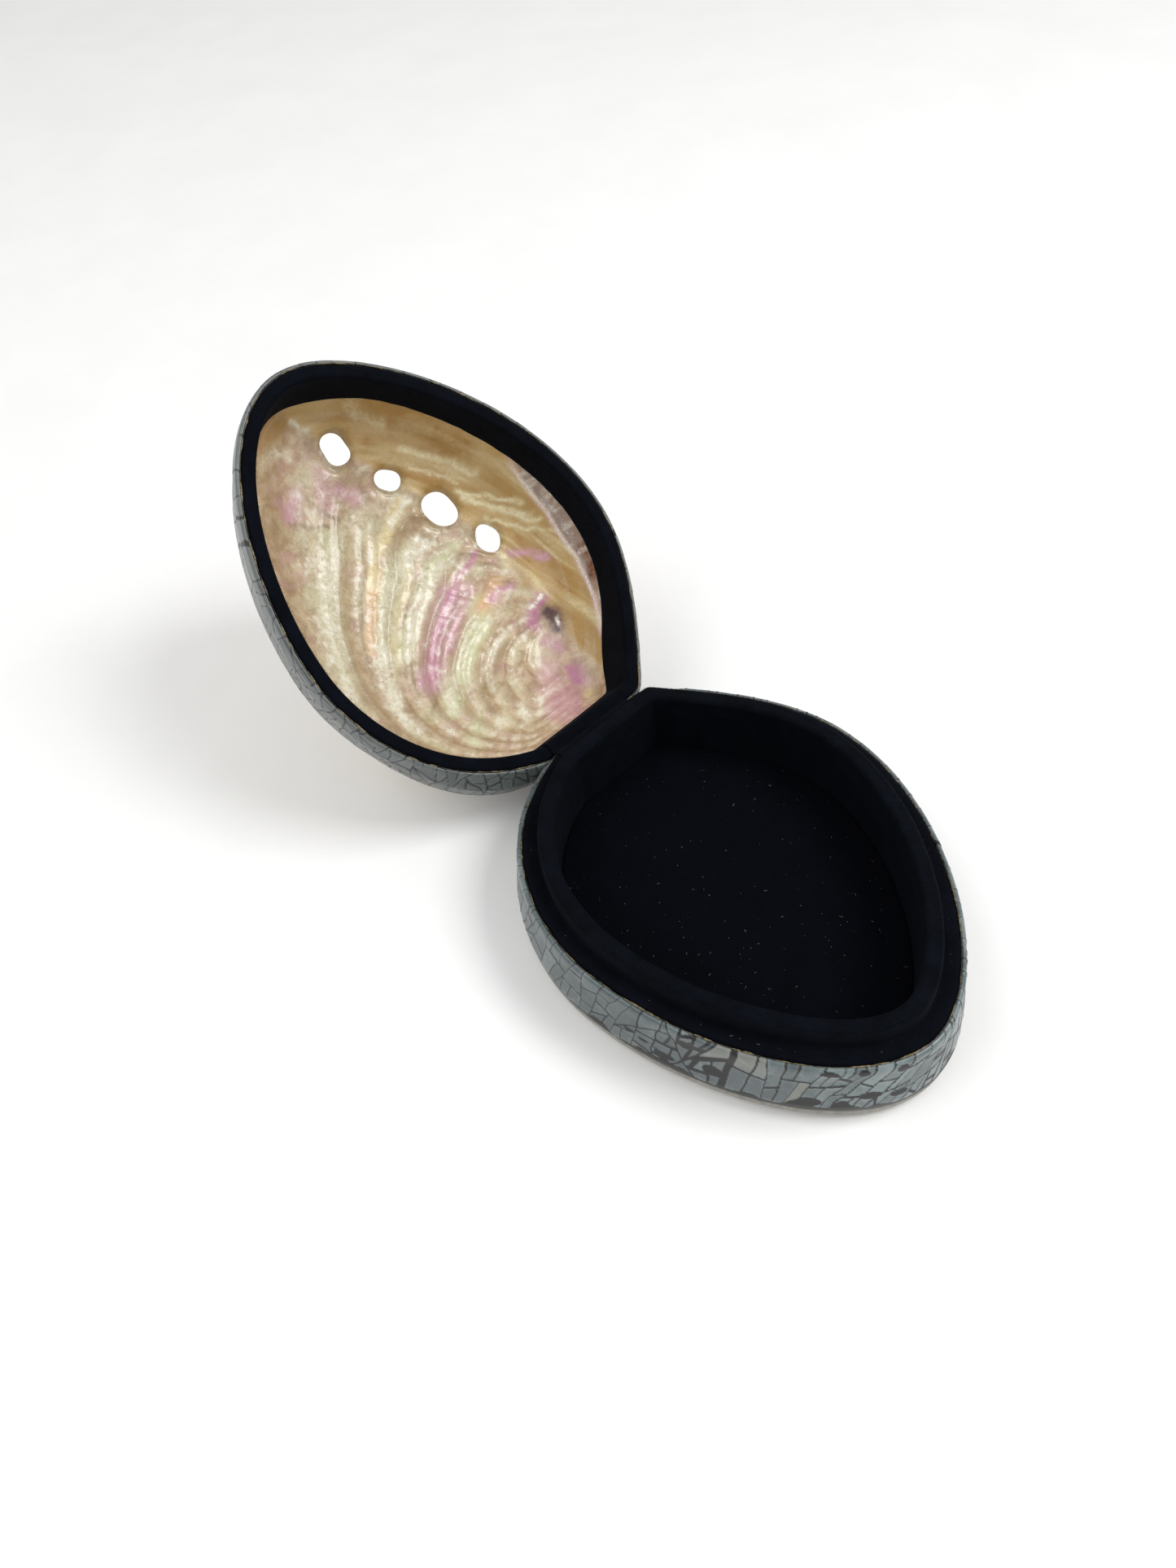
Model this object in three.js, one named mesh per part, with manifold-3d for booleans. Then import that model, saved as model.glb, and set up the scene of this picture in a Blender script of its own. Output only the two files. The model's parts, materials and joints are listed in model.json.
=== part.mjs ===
// Shell box: a velvet-lined tray and a lid made of one abalone shell, hinged at the back with
// velvet cloth. Both halves are edged with a band of crackled shell mosaic.
// Millimetres, +Z up, +X along the hinge, the pointed end of the tray towards -Y. The origin is
// the middle of the flat underside. The lid is modelled open, resting against its stop.

import * as THREE from 'three';
import Module from 'manifold-3d';
import { mergeVertices } from 'three/addons/utils/BufferGeometryUtils.js';

const wasm = await Module();
wasm.setup();

// Plan outline of the velvet rims: how far it reaches from the origin on each side
const tipReach = 56;
const backReach = 56;
const rightReach = 45;
const leftReach = 44.7;

// Where the outline touches those reaches
const tipX = -6;
const widestRightY = 9.4;
const widestLeftY = 8.7;
const hingeRightX = 23.4;
const hingeLeftX = -8;

// Fullness of the outline's curves, as the lengths of their handles
const rightShoulder = 13.8;
const rightFlank = 32.9;
const tipRightRound = 18.8;
const tipLeftRound = 21.2;
const leftFlank = 29.3;
const leftShoulder = 11.4;
const leftBackRun = 32.2;
const rightBackRun = 18;
const leftBackAngle = 0.28;
const rightBackAngle = 0.94;
const hingeCornerRound = 6;

// Tray, in heights above the underside
const trayHeight = 21;
const boardThickness = 6.6;
const boardEdge = 4.9;
const padThickness = 1.2;
const ledgeWidth = 4.1;
const collarWall = 4;
const collarRise = 5;
const velvetThickness = 1.2;
const velvetRound = 0.6;

// Mosaic bands: how far each stands proud of the velvet outline
const bandRimProud = 1.45;
const trayBulgeProud = 2.75;
const boardProud = 2.5;
const bulgeRound = 2;
const bandEdgeRound = 0.1;
const bandEdgeFall = 3.2;
const bandCrown = 0.8;
const lidBandTopProud = 0.2;
const lidBandHeight = 17.4;

// The lid's band bellies out beside the left end of the hinge
const bellyProud = 4.2;
const bellyAngle = 112;
const bellySpread = 27;
const bellyHeight = 9.1;

// Lid, in heights above its own rim with the lid shut
const lidRimWidth = 3.5;
const shellSeat = 10.8;
const shellRise = 22.3;
const shellThickness = 2;
const shellInset = 1.3;
const domeFullness = 0.55;

// The margin of the shell climbs at the pointed end and beside the right end of the hinge
const tipClimb = 4;
const tipClimbAngle = 268;
const cornerClimb = 4.5;
const cornerClimbAngle = 58;
const climbSpread = 13;

// Carving of the shell: the spire that it grew from, its growth ridges and its breathing holes
const spireX = 26.5;
const spireY = 29;
const spireDepth = 2.2;
const spireRadius = 5;
const growthRidges = 8;
const ridgeHeight = 0.6;
const ridgeStartAngle = 190;
const ridgeTurn = 28;
const ridgeSlowest = 0.4;
const ridgeSteepest = 4;
const shelfWidth = 4;
const shelfDepth = 0.9;
const breathingHoles = [
  { x: 3.5, y: -40.6, long: 8.8, wide: 7.4, turn: 2 },
  { x: 11.7, y: -27.1, long: 7, wide: 5.4, turn: 0.5 },
  { x: 20.1, y: -13.7, long: 9.5, wide: 8.2, turn: 0.5 },
  { x: 25.9, y: -0.2, long: 7, wide: 6.6, turn: 2 },
];

// Hinge and clearances
const lidOpening = 139.1;
const axisDrop = 0.7;
const shutGap = 1;
const seatGap = 0.3;
const stopGap = 0.3;
const clothThickness = 0.25;
const clothGap = 0.1;

// Facets
const raysRound = 64;
const outlineSteps = 240;
const domeRings = 11;
const holeSides = 14;

const axisHeight = trayHeight - axisDrop;
const shutRim = axisDrop + shutGap;
const radians = Math.PI / 180;
const middle = new THREE.Vector2(0, 0);
const spire = new THREE.Vector2(spireX, spireY);

// The outline runs clockwise from the hinge: right side, tip, left side and back along the hinge
function rimOutline() {
  const path = new THREE.Path();
  const cornerX = hingeRightX + hingeCornerRound * Math.cos(rightBackAngle);
  const cornerY = backReach - hingeCornerRound * Math.sin(rightBackAngle);
  path.moveTo(hingeRightX - hingeCornerRound, backReach);
  path.quadraticCurveTo(hingeRightX, backReach, cornerX, cornerY);
  path.bezierCurveTo(
    cornerX + rightBackRun * Math.cos(rightBackAngle), cornerY - rightBackRun * Math.sin(rightBackAngle),
    rightReach, widestRightY + rightShoulder,
    rightReach, widestRightY,
  );
  path.bezierCurveTo(
    rightReach, widestRightY - rightFlank,
    tipX + tipRightRound, -tipReach,
    tipX, -tipReach,
  );
  path.bezierCurveTo(
    tipX - tipLeftRound, -tipReach,
    -leftReach, widestLeftY - leftFlank,
    -leftReach, widestLeftY,
  );
  path.bezierCurveTo(
    -leftReach, widestLeftY + leftShoulder,
    hingeLeftX - leftBackRun * Math.cos(leftBackAngle), backReach - leftBackRun * Math.sin(leftBackAngle),
    hingeLeftX, backReach,
  );
  path.closePath();
  return path;
}

// Points of the outline with their outward normals
const rim = [];
const outline = rimOutline();
for (let step = 0; step < outlineSteps; step += 1) {
  const along = (step + 0.5) / outlineSteps;
  const tangent = outline.getTangentAt(along);
  rim.push({ point: outline.getPointAt(along), normal: new THREE.Vector2(-tangent.y, tangent.x) });
}

// Distance from a centre, at an angle, to the outline moved inwards by an inset: the smallest of
// the distances to the outline's moved tangent lines
function reach(centre, angle, inset) {
  const ray = new THREE.Vector2(Math.cos(angle), Math.sin(angle));
  let nearest = Infinity;
  for (const { point, normal } of rim) {
    const facing = normal.dot(ray);
    if (facing > 0.001) {
      nearest = Math.min(nearest, (point.clone().sub(centre).dot(normal) - inset) / facing);
    }
  }
  return nearest;
}

// Corners of a section are functions of the angle round the box that give [radius, height].
// A corner at an inset from the rim outline:
function inside(inset, height) {
  return (angle) => [reach(middle, angle, inset), height];
}

// A corner proud of the rim outline, cut back near the hinge so that the two bands only meet
// there when the lid is fully open. distance is how far it lies from the hinge axis, in height.
function proudOf(proud, height, distance) {
  const wedge = (180 - lidOpening) / 2 * radians;
  const backLimit = backReach + distance * Math.tan(wedge) - stopGap / 2;
  return (angle) => {
    const radius = reach(middle, angle, -proud);
    const sine = Math.sin(angle);
    return [sine > 0 ? Math.min(radius, backLimit / sine) : radius, height];
  };
}

// A solid swept round the box from the corners of its section. A ring's section closes on
// itself, and a disc's section starts and ends on the middle axis.
function sweepRound(section, disc) {
  const positions = [];
  const index = [];
  for (let ray = 0; ray < raysRound; ray += 1) {
    const angle = ray / raysRound * 2 * Math.PI;
    for (const corner of section) {
      const [radius, height] = corner(angle);
      positions.push(radius * Math.cos(angle), radius * Math.sin(angle), height);
    }
  }
  const sides = disc ? section.length - 1 : section.length;
  for (let ray = 0; ray < raysRound; ray += 1) {
    const here = ray * section.length;
    const next = ((ray + 1) % raysRound) * section.length;
    for (let side = 0; side < sides; side += 1) {
      const far = (side + 1) % section.length;
      index.push(here + side, next + side, next + far);
      index.push(here + side, next + far, here + far);
    }
  }
  if (disc) {
    const bottom = positions.length / 3;
    positions.push(0, 0, section[0](0)[1]);
    positions.push(0, 0, section[section.length - 1](0)[1]);
    for (let ray = 0; ray < raysRound; ray += 1) {
      const here = ray * section.length;
      const next = ((ray + 1) % raysRound) * section.length;
      index.push(bottom, next, here);
      index.push(bottom + 1, here + section.length - 1, next + section.length - 1);
    }
  }
  const geometry = new THREE.BufferGeometry();
  geometry.setAttribute('position', new THREE.Float32BufferAttribute(positions, 3));
  geometry.setIndex(index);
  return geometry;
}

function toManifold(geometry) {
  const bare = geometry.clone();
  bare.deleteAttribute('normal');
  bare.deleteAttribute('uv');
  const merged = mergeVertices(bare, 0.0001);
  return new wasm.Manifold(new wasm.Mesh({
    numProp: 3,
    vertProperties: new Float32Array(merged.attributes.position.array),
    triVerts: new Uint32Array(merged.index.array),
  }));
}

function toGeometry(solid) {
  const { vertProperties, triVerts } = solid.getMesh();
  const geometry = new THREE.BufferGeometry();
  geometry.setAttribute('position', new THREE.Float32BufferAttribute(vertProperties, 3));
  geometry.setIndex(new THREE.Uint32BufferAttribute(triVerts, 1));
  return geometry;
}

function meshOf(name, geometry, color, roughness, metalness = 0) {
  geometry.computeVertexNormals();
  const mesh = new THREE.Mesh(geometry, new THREE.MeshStandardMaterial({ color, roughness, metalness }));
  mesh.name = name;
  return mesh;
}

// A smooth hump round the box, 1 at its angle and fading over its spread, both in degrees
function hump(angle, centre, spread) {
  const away = Math.abs(((angle / radians - centre + 540) % 360) - 180);
  return Math.exp(-((away / spread) ** 2));
}

function marginHeight(angle) {
  const climb = tipClimb * hump(angle, tipClimbAngle, climbSpread)
    + cornerClimb * hump(angle, cornerClimbAngle, climbSpread);
  return shellSeat + climb;
}

// Relief of the shell, the same on both of its faces. Growth ridges are copies of the margin
// shrunk towards the spire and wound about it, each coming nearer to the spire as it runs round
// to the breathing holes. The spire itself is a small knob.
function shellRelief(x, y) {
  const point = new THREE.Vector2(x, y);
  const fromSpire = point.distanceTo(spire);
  const knob = spireDepth * Math.exp(-((fromSpire / spireRadius) ** 2));
  const growthAngle = Math.atan2(y - spireY, x - spireX);
  const growthReach = reach(spire, growthAngle, shellInset);
  const share = Math.min(fromSpire / growthReach, 1);
  const turned = (growthAngle / radians + 360) % 360 - ridgeStartAngle;
  const winding = ridgeSlowest + (1 - ridgeSlowest) * Math.exp(-turned / ridgeTurn);
  const growth = share ** Math.min(winding, ridgeSteepest);
  const broad = THREE.MathUtils.smoothstep(growthReach, 30, 60);
  const fade = Math.sin(Math.PI * share);
  return knob + ridgeHeight * broad * fade * Math.cos(2 * Math.PI * growthRidges * growth);
}

// A point on one face of the shell: share is 0 at the middle and 1 at the margin
function domeCorner(share, inset, top, relief) {
  return (angle) => {
    const margin = marginHeight(angle);
    const radius = share * reach(middle, angle, inset);
    const arch = (1 - share ** 2) ** domeFullness;
    const carved = relief ? shellRelief(radius * Math.cos(angle), radius * Math.sin(angle)) * arch ** 0.5 : 0;
    return [radius, margin + (top - margin) * arch + carved];
  };
}

// A corner just under the shell's margin
function underMargin(inset) {
  return (angle) => [reach(middle, angle, inset), marginHeight(angle) - seatGap];
}

const shellTop = shellSeat + shellRise;
const shellInnerInset = shellInset + shellThickness;
const shellInnerTop = shellTop - shellThickness;

// Shares of the way out for the rings of the dome, closest together where it turns down
const domeShares = [];
for (let ringNumber = 1; ringNumber <= domeRings; ringNumber += 1) {
  domeShares.push(Math.sin(ringNumber / domeRings * Math.PI / 2));
}

// The ledge inside the shell's thick right margin, where its whorl turned over
function shelfDrop(share, angle) {
  const radius = reach(middle, angle, shellInnerInset);
  const fromMargin = radius * (1 - share);
  const right = THREE.MathUtils.smoothstep(Math.cos(angle - 10 * radians), 0.55, 0.85);
  const fade = THREE.MathUtils.smoothstep(fromMargin, 0.2, 1.5);
  return shelfDepth * right * fade * (1 - THREE.MathUtils.smoothstep(fromMargin, shelfWidth - 1, shelfWidth + 1));
}

function innerCorner(share) {
  const plain = domeCorner(share, shellInnerInset, shellInnerTop, true);
  return (angle) => {
    const [radius, height] = plain(angle);
    return [radius, height - shelfDrop(share, angle)];
  };
}

// The shell, with its breathing holes cut through square to its arch
function abaloneShell() {
  const innerMiddle = () => [0.001, shellInnerTop];
  const outerMiddle = () => [0.001, shellTop];
  const inner = domeShares.map((share) => innerCorner(share));
  const outer = domeShares.map((share) => domeCorner(share, shellInset, shellTop, true)).reverse();
  let shell = toManifold(sweepRound([innerMiddle, ...inner, ...outer, outerMiddle], true));
  for (const hole of breathingHoles) {
    const cutter = new THREE.CylinderGeometry(0.5, 0.5, 3 * shellThickness + shellRise, holeSides);
    cutter.rotateX(Math.PI / 2);
    cutter.scale(hole.long, hole.wide, 1);
    cutter.rotateZ(hole.turn);
    cutter.translate(hole.x, hole.y, shellSeat + shellRise);
    shell = shell.subtract(toManifold(cutter));
  }
  return toGeometry(shell);
}

// Where the lid band's inner face passes the outer face of the shell at a share of the way up
function bandOverShell(share) {
  return (angle) => {
    const margin = marginHeight(angle);
    const height = margin + (lidBandHeight + bandCrown - margin) * share;
    const arch = (height - margin) / (shellTop - margin);
    const out = Math.sqrt(Math.max(0, 1 - arch ** (1 / domeFullness)));
    return [out * reach(middle, angle, shellInset) + 2 * seatGap, height];
  };
}

// A corner of the tray's band, whose height is above the underside
function trayProudOf(proud, height) {
  return proudOf(proud, height, axisHeight - height);
}

const trayBandTop = trayHeight - velvetThickness - seatGap;
const trayBandBottom = boardEdge + seatGap;
const trayBandSection = [
  inside(ledgeWidth - seatGap, trayBandBottom + boardThickness - boardEdge),
  inside(ledgeWidth / 2, trayBandBottom),
  trayProudOf(boardProud, trayBandBottom),
  trayProudOf(trayBulgeProud, trayBandBottom + bulgeRound),
  trayProudOf((bandRimProud + 2 * trayBulgeProud) / 3, trayHeight / 2),
  trayProudOf(bandRimProud, trayBandTop - bandEdgeFall),
  trayProudOf(bandRimProud - bandEdgeRound, trayBandTop),
  inside(ledgeWidth - seatGap, trayBandTop),
];

const boardSection = [
  inside(boardProud * 0.4, 0),
  inside(-boardProud * 0.6, boardEdge * 0.2),
  inside(-boardProud * 0.92, boardEdge * 0.55),
  inside(-boardProud, boardEdge),
  inside(ledgeWidth, boardEdge),
  inside(ledgeWidth, boardThickness),
];

const collarInner = ledgeWidth + collarWall;
const collarTop = trayHeight + collarRise;
const trayLinerSection = [
  inside(ledgeWidth, boardThickness + seatGap),
  inside(ledgeWidth, trayHeight - velvetThickness),
  inside(0, trayHeight - velvetThickness),
  inside(0, trayHeight - velvetRound),
  inside(velvetRound, trayHeight),
  inside(ledgeWidth, trayHeight),
  inside(ledgeWidth, collarTop - velvetRound),
  inside(ledgeWidth + velvetRound, collarTop),
  inside(collarInner - velvetRound, collarTop),
  inside(collarInner, collarTop - velvetRound),
  inside(collarInner, boardThickness + seatGap),
];

const padSection = [
  inside(collarInner + seatGap, boardThickness + seatGap),
  inside(collarInner + seatGap, boardThickness + seatGap + padThickness - velvetRound),
  inside(collarInner + seatGap + velvetRound, boardThickness + seatGap + padThickness),
];

const lidWallInset = lidRimWidth - velvetThickness;
const lidLinerSection = [
  inside(lidRimWidth, velvetRound),
  inside(lidRimWidth - velvetRound, 0),
  inside(velvetRound, 0),
  inside(0, velvetRound),
  inside(0, velvetThickness),
  inside(lidWallInset, velvetThickness),
  underMargin(lidWallInset),
  underMargin(lidRimWidth),
];

// A corner of the lid's band, whose height is above the lid's own rim. The belly swells from
// nothing at the rim to its fullest height, and dies away as fast above it.
function lidProudOf(proud, height) {
  const share = Math.max(0, 1 - ((height - bellyHeight) / (bellyHeight - lidBandBottom)) ** 2);
  return (angle) => {
    const belly = bellyProud * share * hump(angle, bellyAngle, bellySpread);
    return proudOf(proud + belly, height, height + shutRim)(angle);
  };
}

const lidBandBottom = velvetThickness + seatGap;
const lidBandSection = [
  inside(lidWallInset - seatGap, lidBandBottom),
  lidProudOf(bandRimProud - bandEdgeRound, lidBandBottom),
  lidProudOf(bandRimProud, lidBandBottom + bandEdgeFall),
  lidProudOf((bandRimProud + lidBandTopProud) / 2, bellyHeight),
  lidProudOf((bandRimProud + 3 * lidBandTopProud) / 4, (bellyHeight + lidBandHeight - 2 * bandCrown) / 2),
  lidProudOf(lidBandTopProud, lidBandHeight - 2 * bandCrown),
  inside(bandCrown / 2, lidBandHeight + bandCrown / 4),
  inside(2 * bandCrown, lidBandHeight + bandCrown),
  bandOverShell(1),
  bandOverShell(0.5),
  underMargin(shellInset - seatGap),
  underMargin(lidWallInset - seatGap),
];

// Half of the hinge cloth, glued to a rim from the hinge line inwards
function clothStrip(width, height) {
  const left = hingeLeftX + 1;
  const right = hingeRightX - hingeCornerRound;
  const strip = new THREE.BoxGeometry(right - left, width, clothThickness);
  strip.translate((left + right) / 2, backReach - clothGap - width / 2, height);
  return strip;
}

const clothHeight = clothGap + clothThickness / 2;

const base = new THREE.Group();
base.add(
  meshOf('base_band', sweepRound(trayBandSection, false), 0x8d979c, 0.3),
  meshOf('base_bottom', sweepRound(boardSection, true), 0x6b6c6a, 0.6),
  meshOf('base_liner', sweepRound(trayLinerSection, false), 0x06070c, 0.95),
  meshOf('base_floor_pad', sweepRound(padSection, true), 0x05060b, 0.95),
  meshOf('hinge_cloth_base', clothStrip(ledgeWidth - 2 * seatGap, trayHeight + clothHeight), 0x06070c, 0.95),
);

// The lid's parts are drawn shut, about the hinge line, and turned open together
const lid = new THREE.Group();
lid.add(
  meshOf('lid_band', sweepRound(lidBandSection, false), 0x8a8f93, 0.35),
  meshOf('lid_shell', abaloneShell(), 0xd9c2a0, 0.25),
  meshOf('lid_liner', sweepRound(lidLinerSection, false), 0x06070c, 0.95),
  meshOf('hinge_cloth_lid', clothStrip(lidRimWidth - 2 * seatGap, -clothHeight), 0x06070c, 0.95),
);
for (const piece of lid.children) {
  piece.position.set(0, -backReach, shutRim);
}
lid.position.set(0, backReach, axisHeight);
lid.rotation.x = -lidOpening * radians;

const shellBox = new THREE.Group();
shellBox.add(base, lid);

export default shellBox;
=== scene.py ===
"""Shell box: a velvet-lined tray and a lid made of one abalone shell, standing open on a cloth hinge.

Every piece is drawn in millimetres in the box's own axes: +X along the hinge, +Y towards the hinge,
+Z up, with the origin in the middle of the flat underside. The lid's pieces are drawn shut, in heights
above the lid's own rim, and turned open about the hinge axis. add_mesh turns millimetres to metres.
"""

import json
import logging
import math
from dataclasses import dataclass
from dataclasses import field
from enum import Enum

import bpy
import numpy as np
from mathutils import Matrix


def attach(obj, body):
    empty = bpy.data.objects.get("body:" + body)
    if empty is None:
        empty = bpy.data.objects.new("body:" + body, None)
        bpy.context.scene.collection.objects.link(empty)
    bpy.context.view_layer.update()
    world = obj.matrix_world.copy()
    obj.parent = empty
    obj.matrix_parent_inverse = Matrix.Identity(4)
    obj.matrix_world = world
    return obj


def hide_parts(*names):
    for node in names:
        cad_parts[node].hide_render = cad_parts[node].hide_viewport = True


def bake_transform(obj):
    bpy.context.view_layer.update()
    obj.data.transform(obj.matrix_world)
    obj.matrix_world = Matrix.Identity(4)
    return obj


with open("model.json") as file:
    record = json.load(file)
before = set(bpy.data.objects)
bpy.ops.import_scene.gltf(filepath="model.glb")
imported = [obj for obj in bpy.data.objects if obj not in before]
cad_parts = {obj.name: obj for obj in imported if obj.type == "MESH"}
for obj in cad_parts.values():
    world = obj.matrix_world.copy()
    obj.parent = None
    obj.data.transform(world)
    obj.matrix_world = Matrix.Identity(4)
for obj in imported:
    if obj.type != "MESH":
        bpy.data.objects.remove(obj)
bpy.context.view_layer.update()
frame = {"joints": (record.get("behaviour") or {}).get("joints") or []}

Array = np.ndarray
Corners = list[tuple[Array | float, Array | float]]
Faces = list[tuple[int, ...]]
Material = bpy.types.Material
Piece = bpy.types.Object
Socket = bpy.types.NodeSocket
Tree = bpy.types.NodeTree

LOG = logging.getLogger("shell_box")
MM = 0.001
TURN = 2 * math.pi
MULTIPLY_ADD = {"operation": "MULTIPLY_ADD"}
COLOURS = {"data_type": "RGBA"}


def smoothstep(low: float, high: float, value: Array) -> Array:
    """A smooth ramp from 0 at low to 1 at high: 3t^2 - 2t^3 of the clipped share of the way."""
    share = np.clip((np.asarray(value) - low) / (high - low), 0.0, 1.0)
    return share * share * (3.0 - 2.0 * share)


def hump(value: Array, centre: float, spread: float) -> Array:
    """A bell of height 1 at its centre: exp of minus the squared distance in spreads."""
    return np.exp(-(((np.asarray(value) - centre) / spread) ** 2))


def ring_hump(degrees: Array, centre: float, spread: float) -> Array:
    """The same bell on a circle, with the distance taken the short way round."""
    return hump(np.abs((degrees - centre + 540.0) % 360.0 - 180.0), 0.0, spread)


def smooth_noise(x: Array, y: Array, seed: int) -> Array:
    """A smooth random field from 0 to 1.

    Random values stand on a square lattice of unit size, and a point takes those of its four
    corners, blended by smoothstep in both directions.

    Args:
        x: First coordinate, in lattice cells.
        y: Second coordinate, in lattice cells.
        seed: Which field it is.

    Returns:
        The field's value at each point.
    """
    size = 257
    table = np.random.default_rng(seed).random((size, size))
    column = np.floor(x).astype(int)
    row = np.floor(y).astype(int)
    across = smoothstep(0.0, 1.0, x - column)
    up = smoothstep(0.0, 1.0, y - row)
    low = table[column % size, row % size] * (1 - across) + table[(column + 1) % size, row % size] * across
    high = table[column % size, (row + 1) % size] * (1 - across)
    high = high + table[(column + 1) % size, (row + 1) % size] * across
    return low * (1 - up) + high * up


def layered_noise(x: Array, y: Array, seed: int, layers: int = 3) -> Array:
    """Smooth noise in layers, each twice as fine and half as strong as the last.

    Args:
        x: First coordinate, in cells of the coarsest layer.
        y: Second coordinate, in cells of the coarsest layer.
        seed: Which field it is.
        layers: How many layers are added.

    Returns:
        The weighted mean of the layers, from 0 to 1.
    """
    total = np.zeros(np.broadcast(x, y).shape)
    weight = 0.0
    for layer in range(layers):
        scale = 2.0**layer
        total = total + smooth_noise(x * scale + 7.3 * layer, y * scale + 3.1 * layer, seed + layer) / scale
        weight += 1.0 / scale
    return total / weight


def linear(hex_colour: str) -> tuple[float, float, float, float]:
    """Turn an sRGB hex colour to linear RGBA.

    Args:
        hex_colour: Six hex digits after a hash sign.

    Returns:
        Red, green and blue by the sRGB curve, and an alpha of 1.
    """
    parts = [int(hex_colour[place : place + 2], 16) / 255 for place in (1, 3, 5)]
    curve = [part / 12.92 if part <= 0.04045 else ((part + 0.055) / 1.055) ** 2.4 for part in parts]
    return (curve[0], curve[1], curve[2], 1.0)


def per_metre(feature_mm: float) -> float:
    """The texture scale that gives features of a real size, since Object coordinates are metres."""
    return 1000.0 / feature_mm


def add_node(
    tree: Tree,
    kind: str,
    inputs: dict[str | int, object] | None = None,
    settings: dict[str, object] | None = None,
    ramp: list[tuple[float, str]] | None = None,
) -> bpy.types.Node:
    """Add a shader node with its settings, its plain values and its links.

    Args:
        tree: The material's node tree.
        kind: Blender's name of the node type.
        inputs: Values or output sockets for the node's inputs, by name or number.
        settings: The node's own properties.
        ramp: Stops of a colour ramp, as position and hex colour.

    Returns:
        The new node.
    """
    node = tree.nodes.new(kind)
    for name, value in (settings or {}).items():
        setattr(node, name, value)
    for place, value in (inputs or {}).items():
        if isinstance(value, Socket):
            tree.links.new(value, node.inputs[place])
        else:
            node.inputs[place].default_value = value
    for number, (position, colour) in enumerate(ramp or []):
        stops = node.color_ramp.elements
        stop = stops[number] if number < len(stops) else stops.new(position)
        stop.position = position
        stop.color = linear(colour)
    return node


def new_material(name: str) -> tuple[Material, Tree, Socket]:
    """Make an empty node material.

    Args:
        name: The material's name.

    Returns:
        The material, its node tree and Object coordinates to draw patterns by.
    """
    material = bpy.data.materials.new(name)
    material.use_nodes = True
    tree = material.node_tree
    tree.nodes.clear()
    return material, tree, add_node(tree, "ShaderNodeTexCoord").outputs["Object"]


def surfaced(material: Material, values: dict[str, object]) -> Material:
    """Close a material with its surface and its output.

    Args:
        material: A material whose patterns are drawn.
        values: Values or sockets for the surface's inputs.

    Returns:
        The same material.
    """
    tree = material.node_tree
    surface = add_node(tree, "ShaderNodeBsdfPrincipled", values).outputs["BSDF"]
    add_node(tree, "ShaderNodeOutputMaterial", {"Surface": surface})
    return material


def add_mesh(name: str, points: Array, faces: Faces, smooth: bool = True) -> Piece:
    """Make a mesh object at the origin from points in millimetres.

    Args:
        name: The object's name.
        points: Points in rows of x, y, z.
        faces: Point numbers of each face, anticlockwise from outside.
        smooth: Whether its faces are shaded smooth.

    Returns:
        The object, linked into the scene.
    """
    mesh = bpy.data.meshes.new(name)
    mesh.from_pydata((np.asarray(points) * MM).tolist(), [], faces)
    mesh.polygons.foreach_set("use_smooth", np.full(len(mesh.polygons), smooth))
    mesh.update()
    piece = bpy.data.objects.new(name, mesh)
    bpy.context.scene.collection.objects.link(piece)
    return piece


def set_field(piece: Piece, name: str, values: Array) -> None:
    """Store one number for each point of a mesh, for its material to read."""
    attribute = piece.data.attributes.new(name, "FLOAT", "POINT")
    attribute.data.foreach_set("value", np.asarray(values, np.float32).ravel())


def read_points(piece: Piece) -> Array:
    """The points of a mesh in millimetres, in rows of x, y, z."""
    flat = np.zeros(len(piece.data.vertices) * 3, np.float32)
    piece.data.vertices.foreach_get("co", flat)
    return flat.reshape(-1, 3).astype(float) / MM


def write_points(piece: Piece, points: Array) -> None:
    """Put points in millimetres back into a mesh."""
    piece.data.vertices.foreach_set("co", (points * MM).astype(np.float32).ravel())
    piece.data.update()


class Closing(Enum):
    """How a section closes when it is swept round the box."""

    RING = "its two ends meet, and it sweeps a ring"
    DISC = "its two ends stand on the middle axis, and it sweeps a disc"


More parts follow.
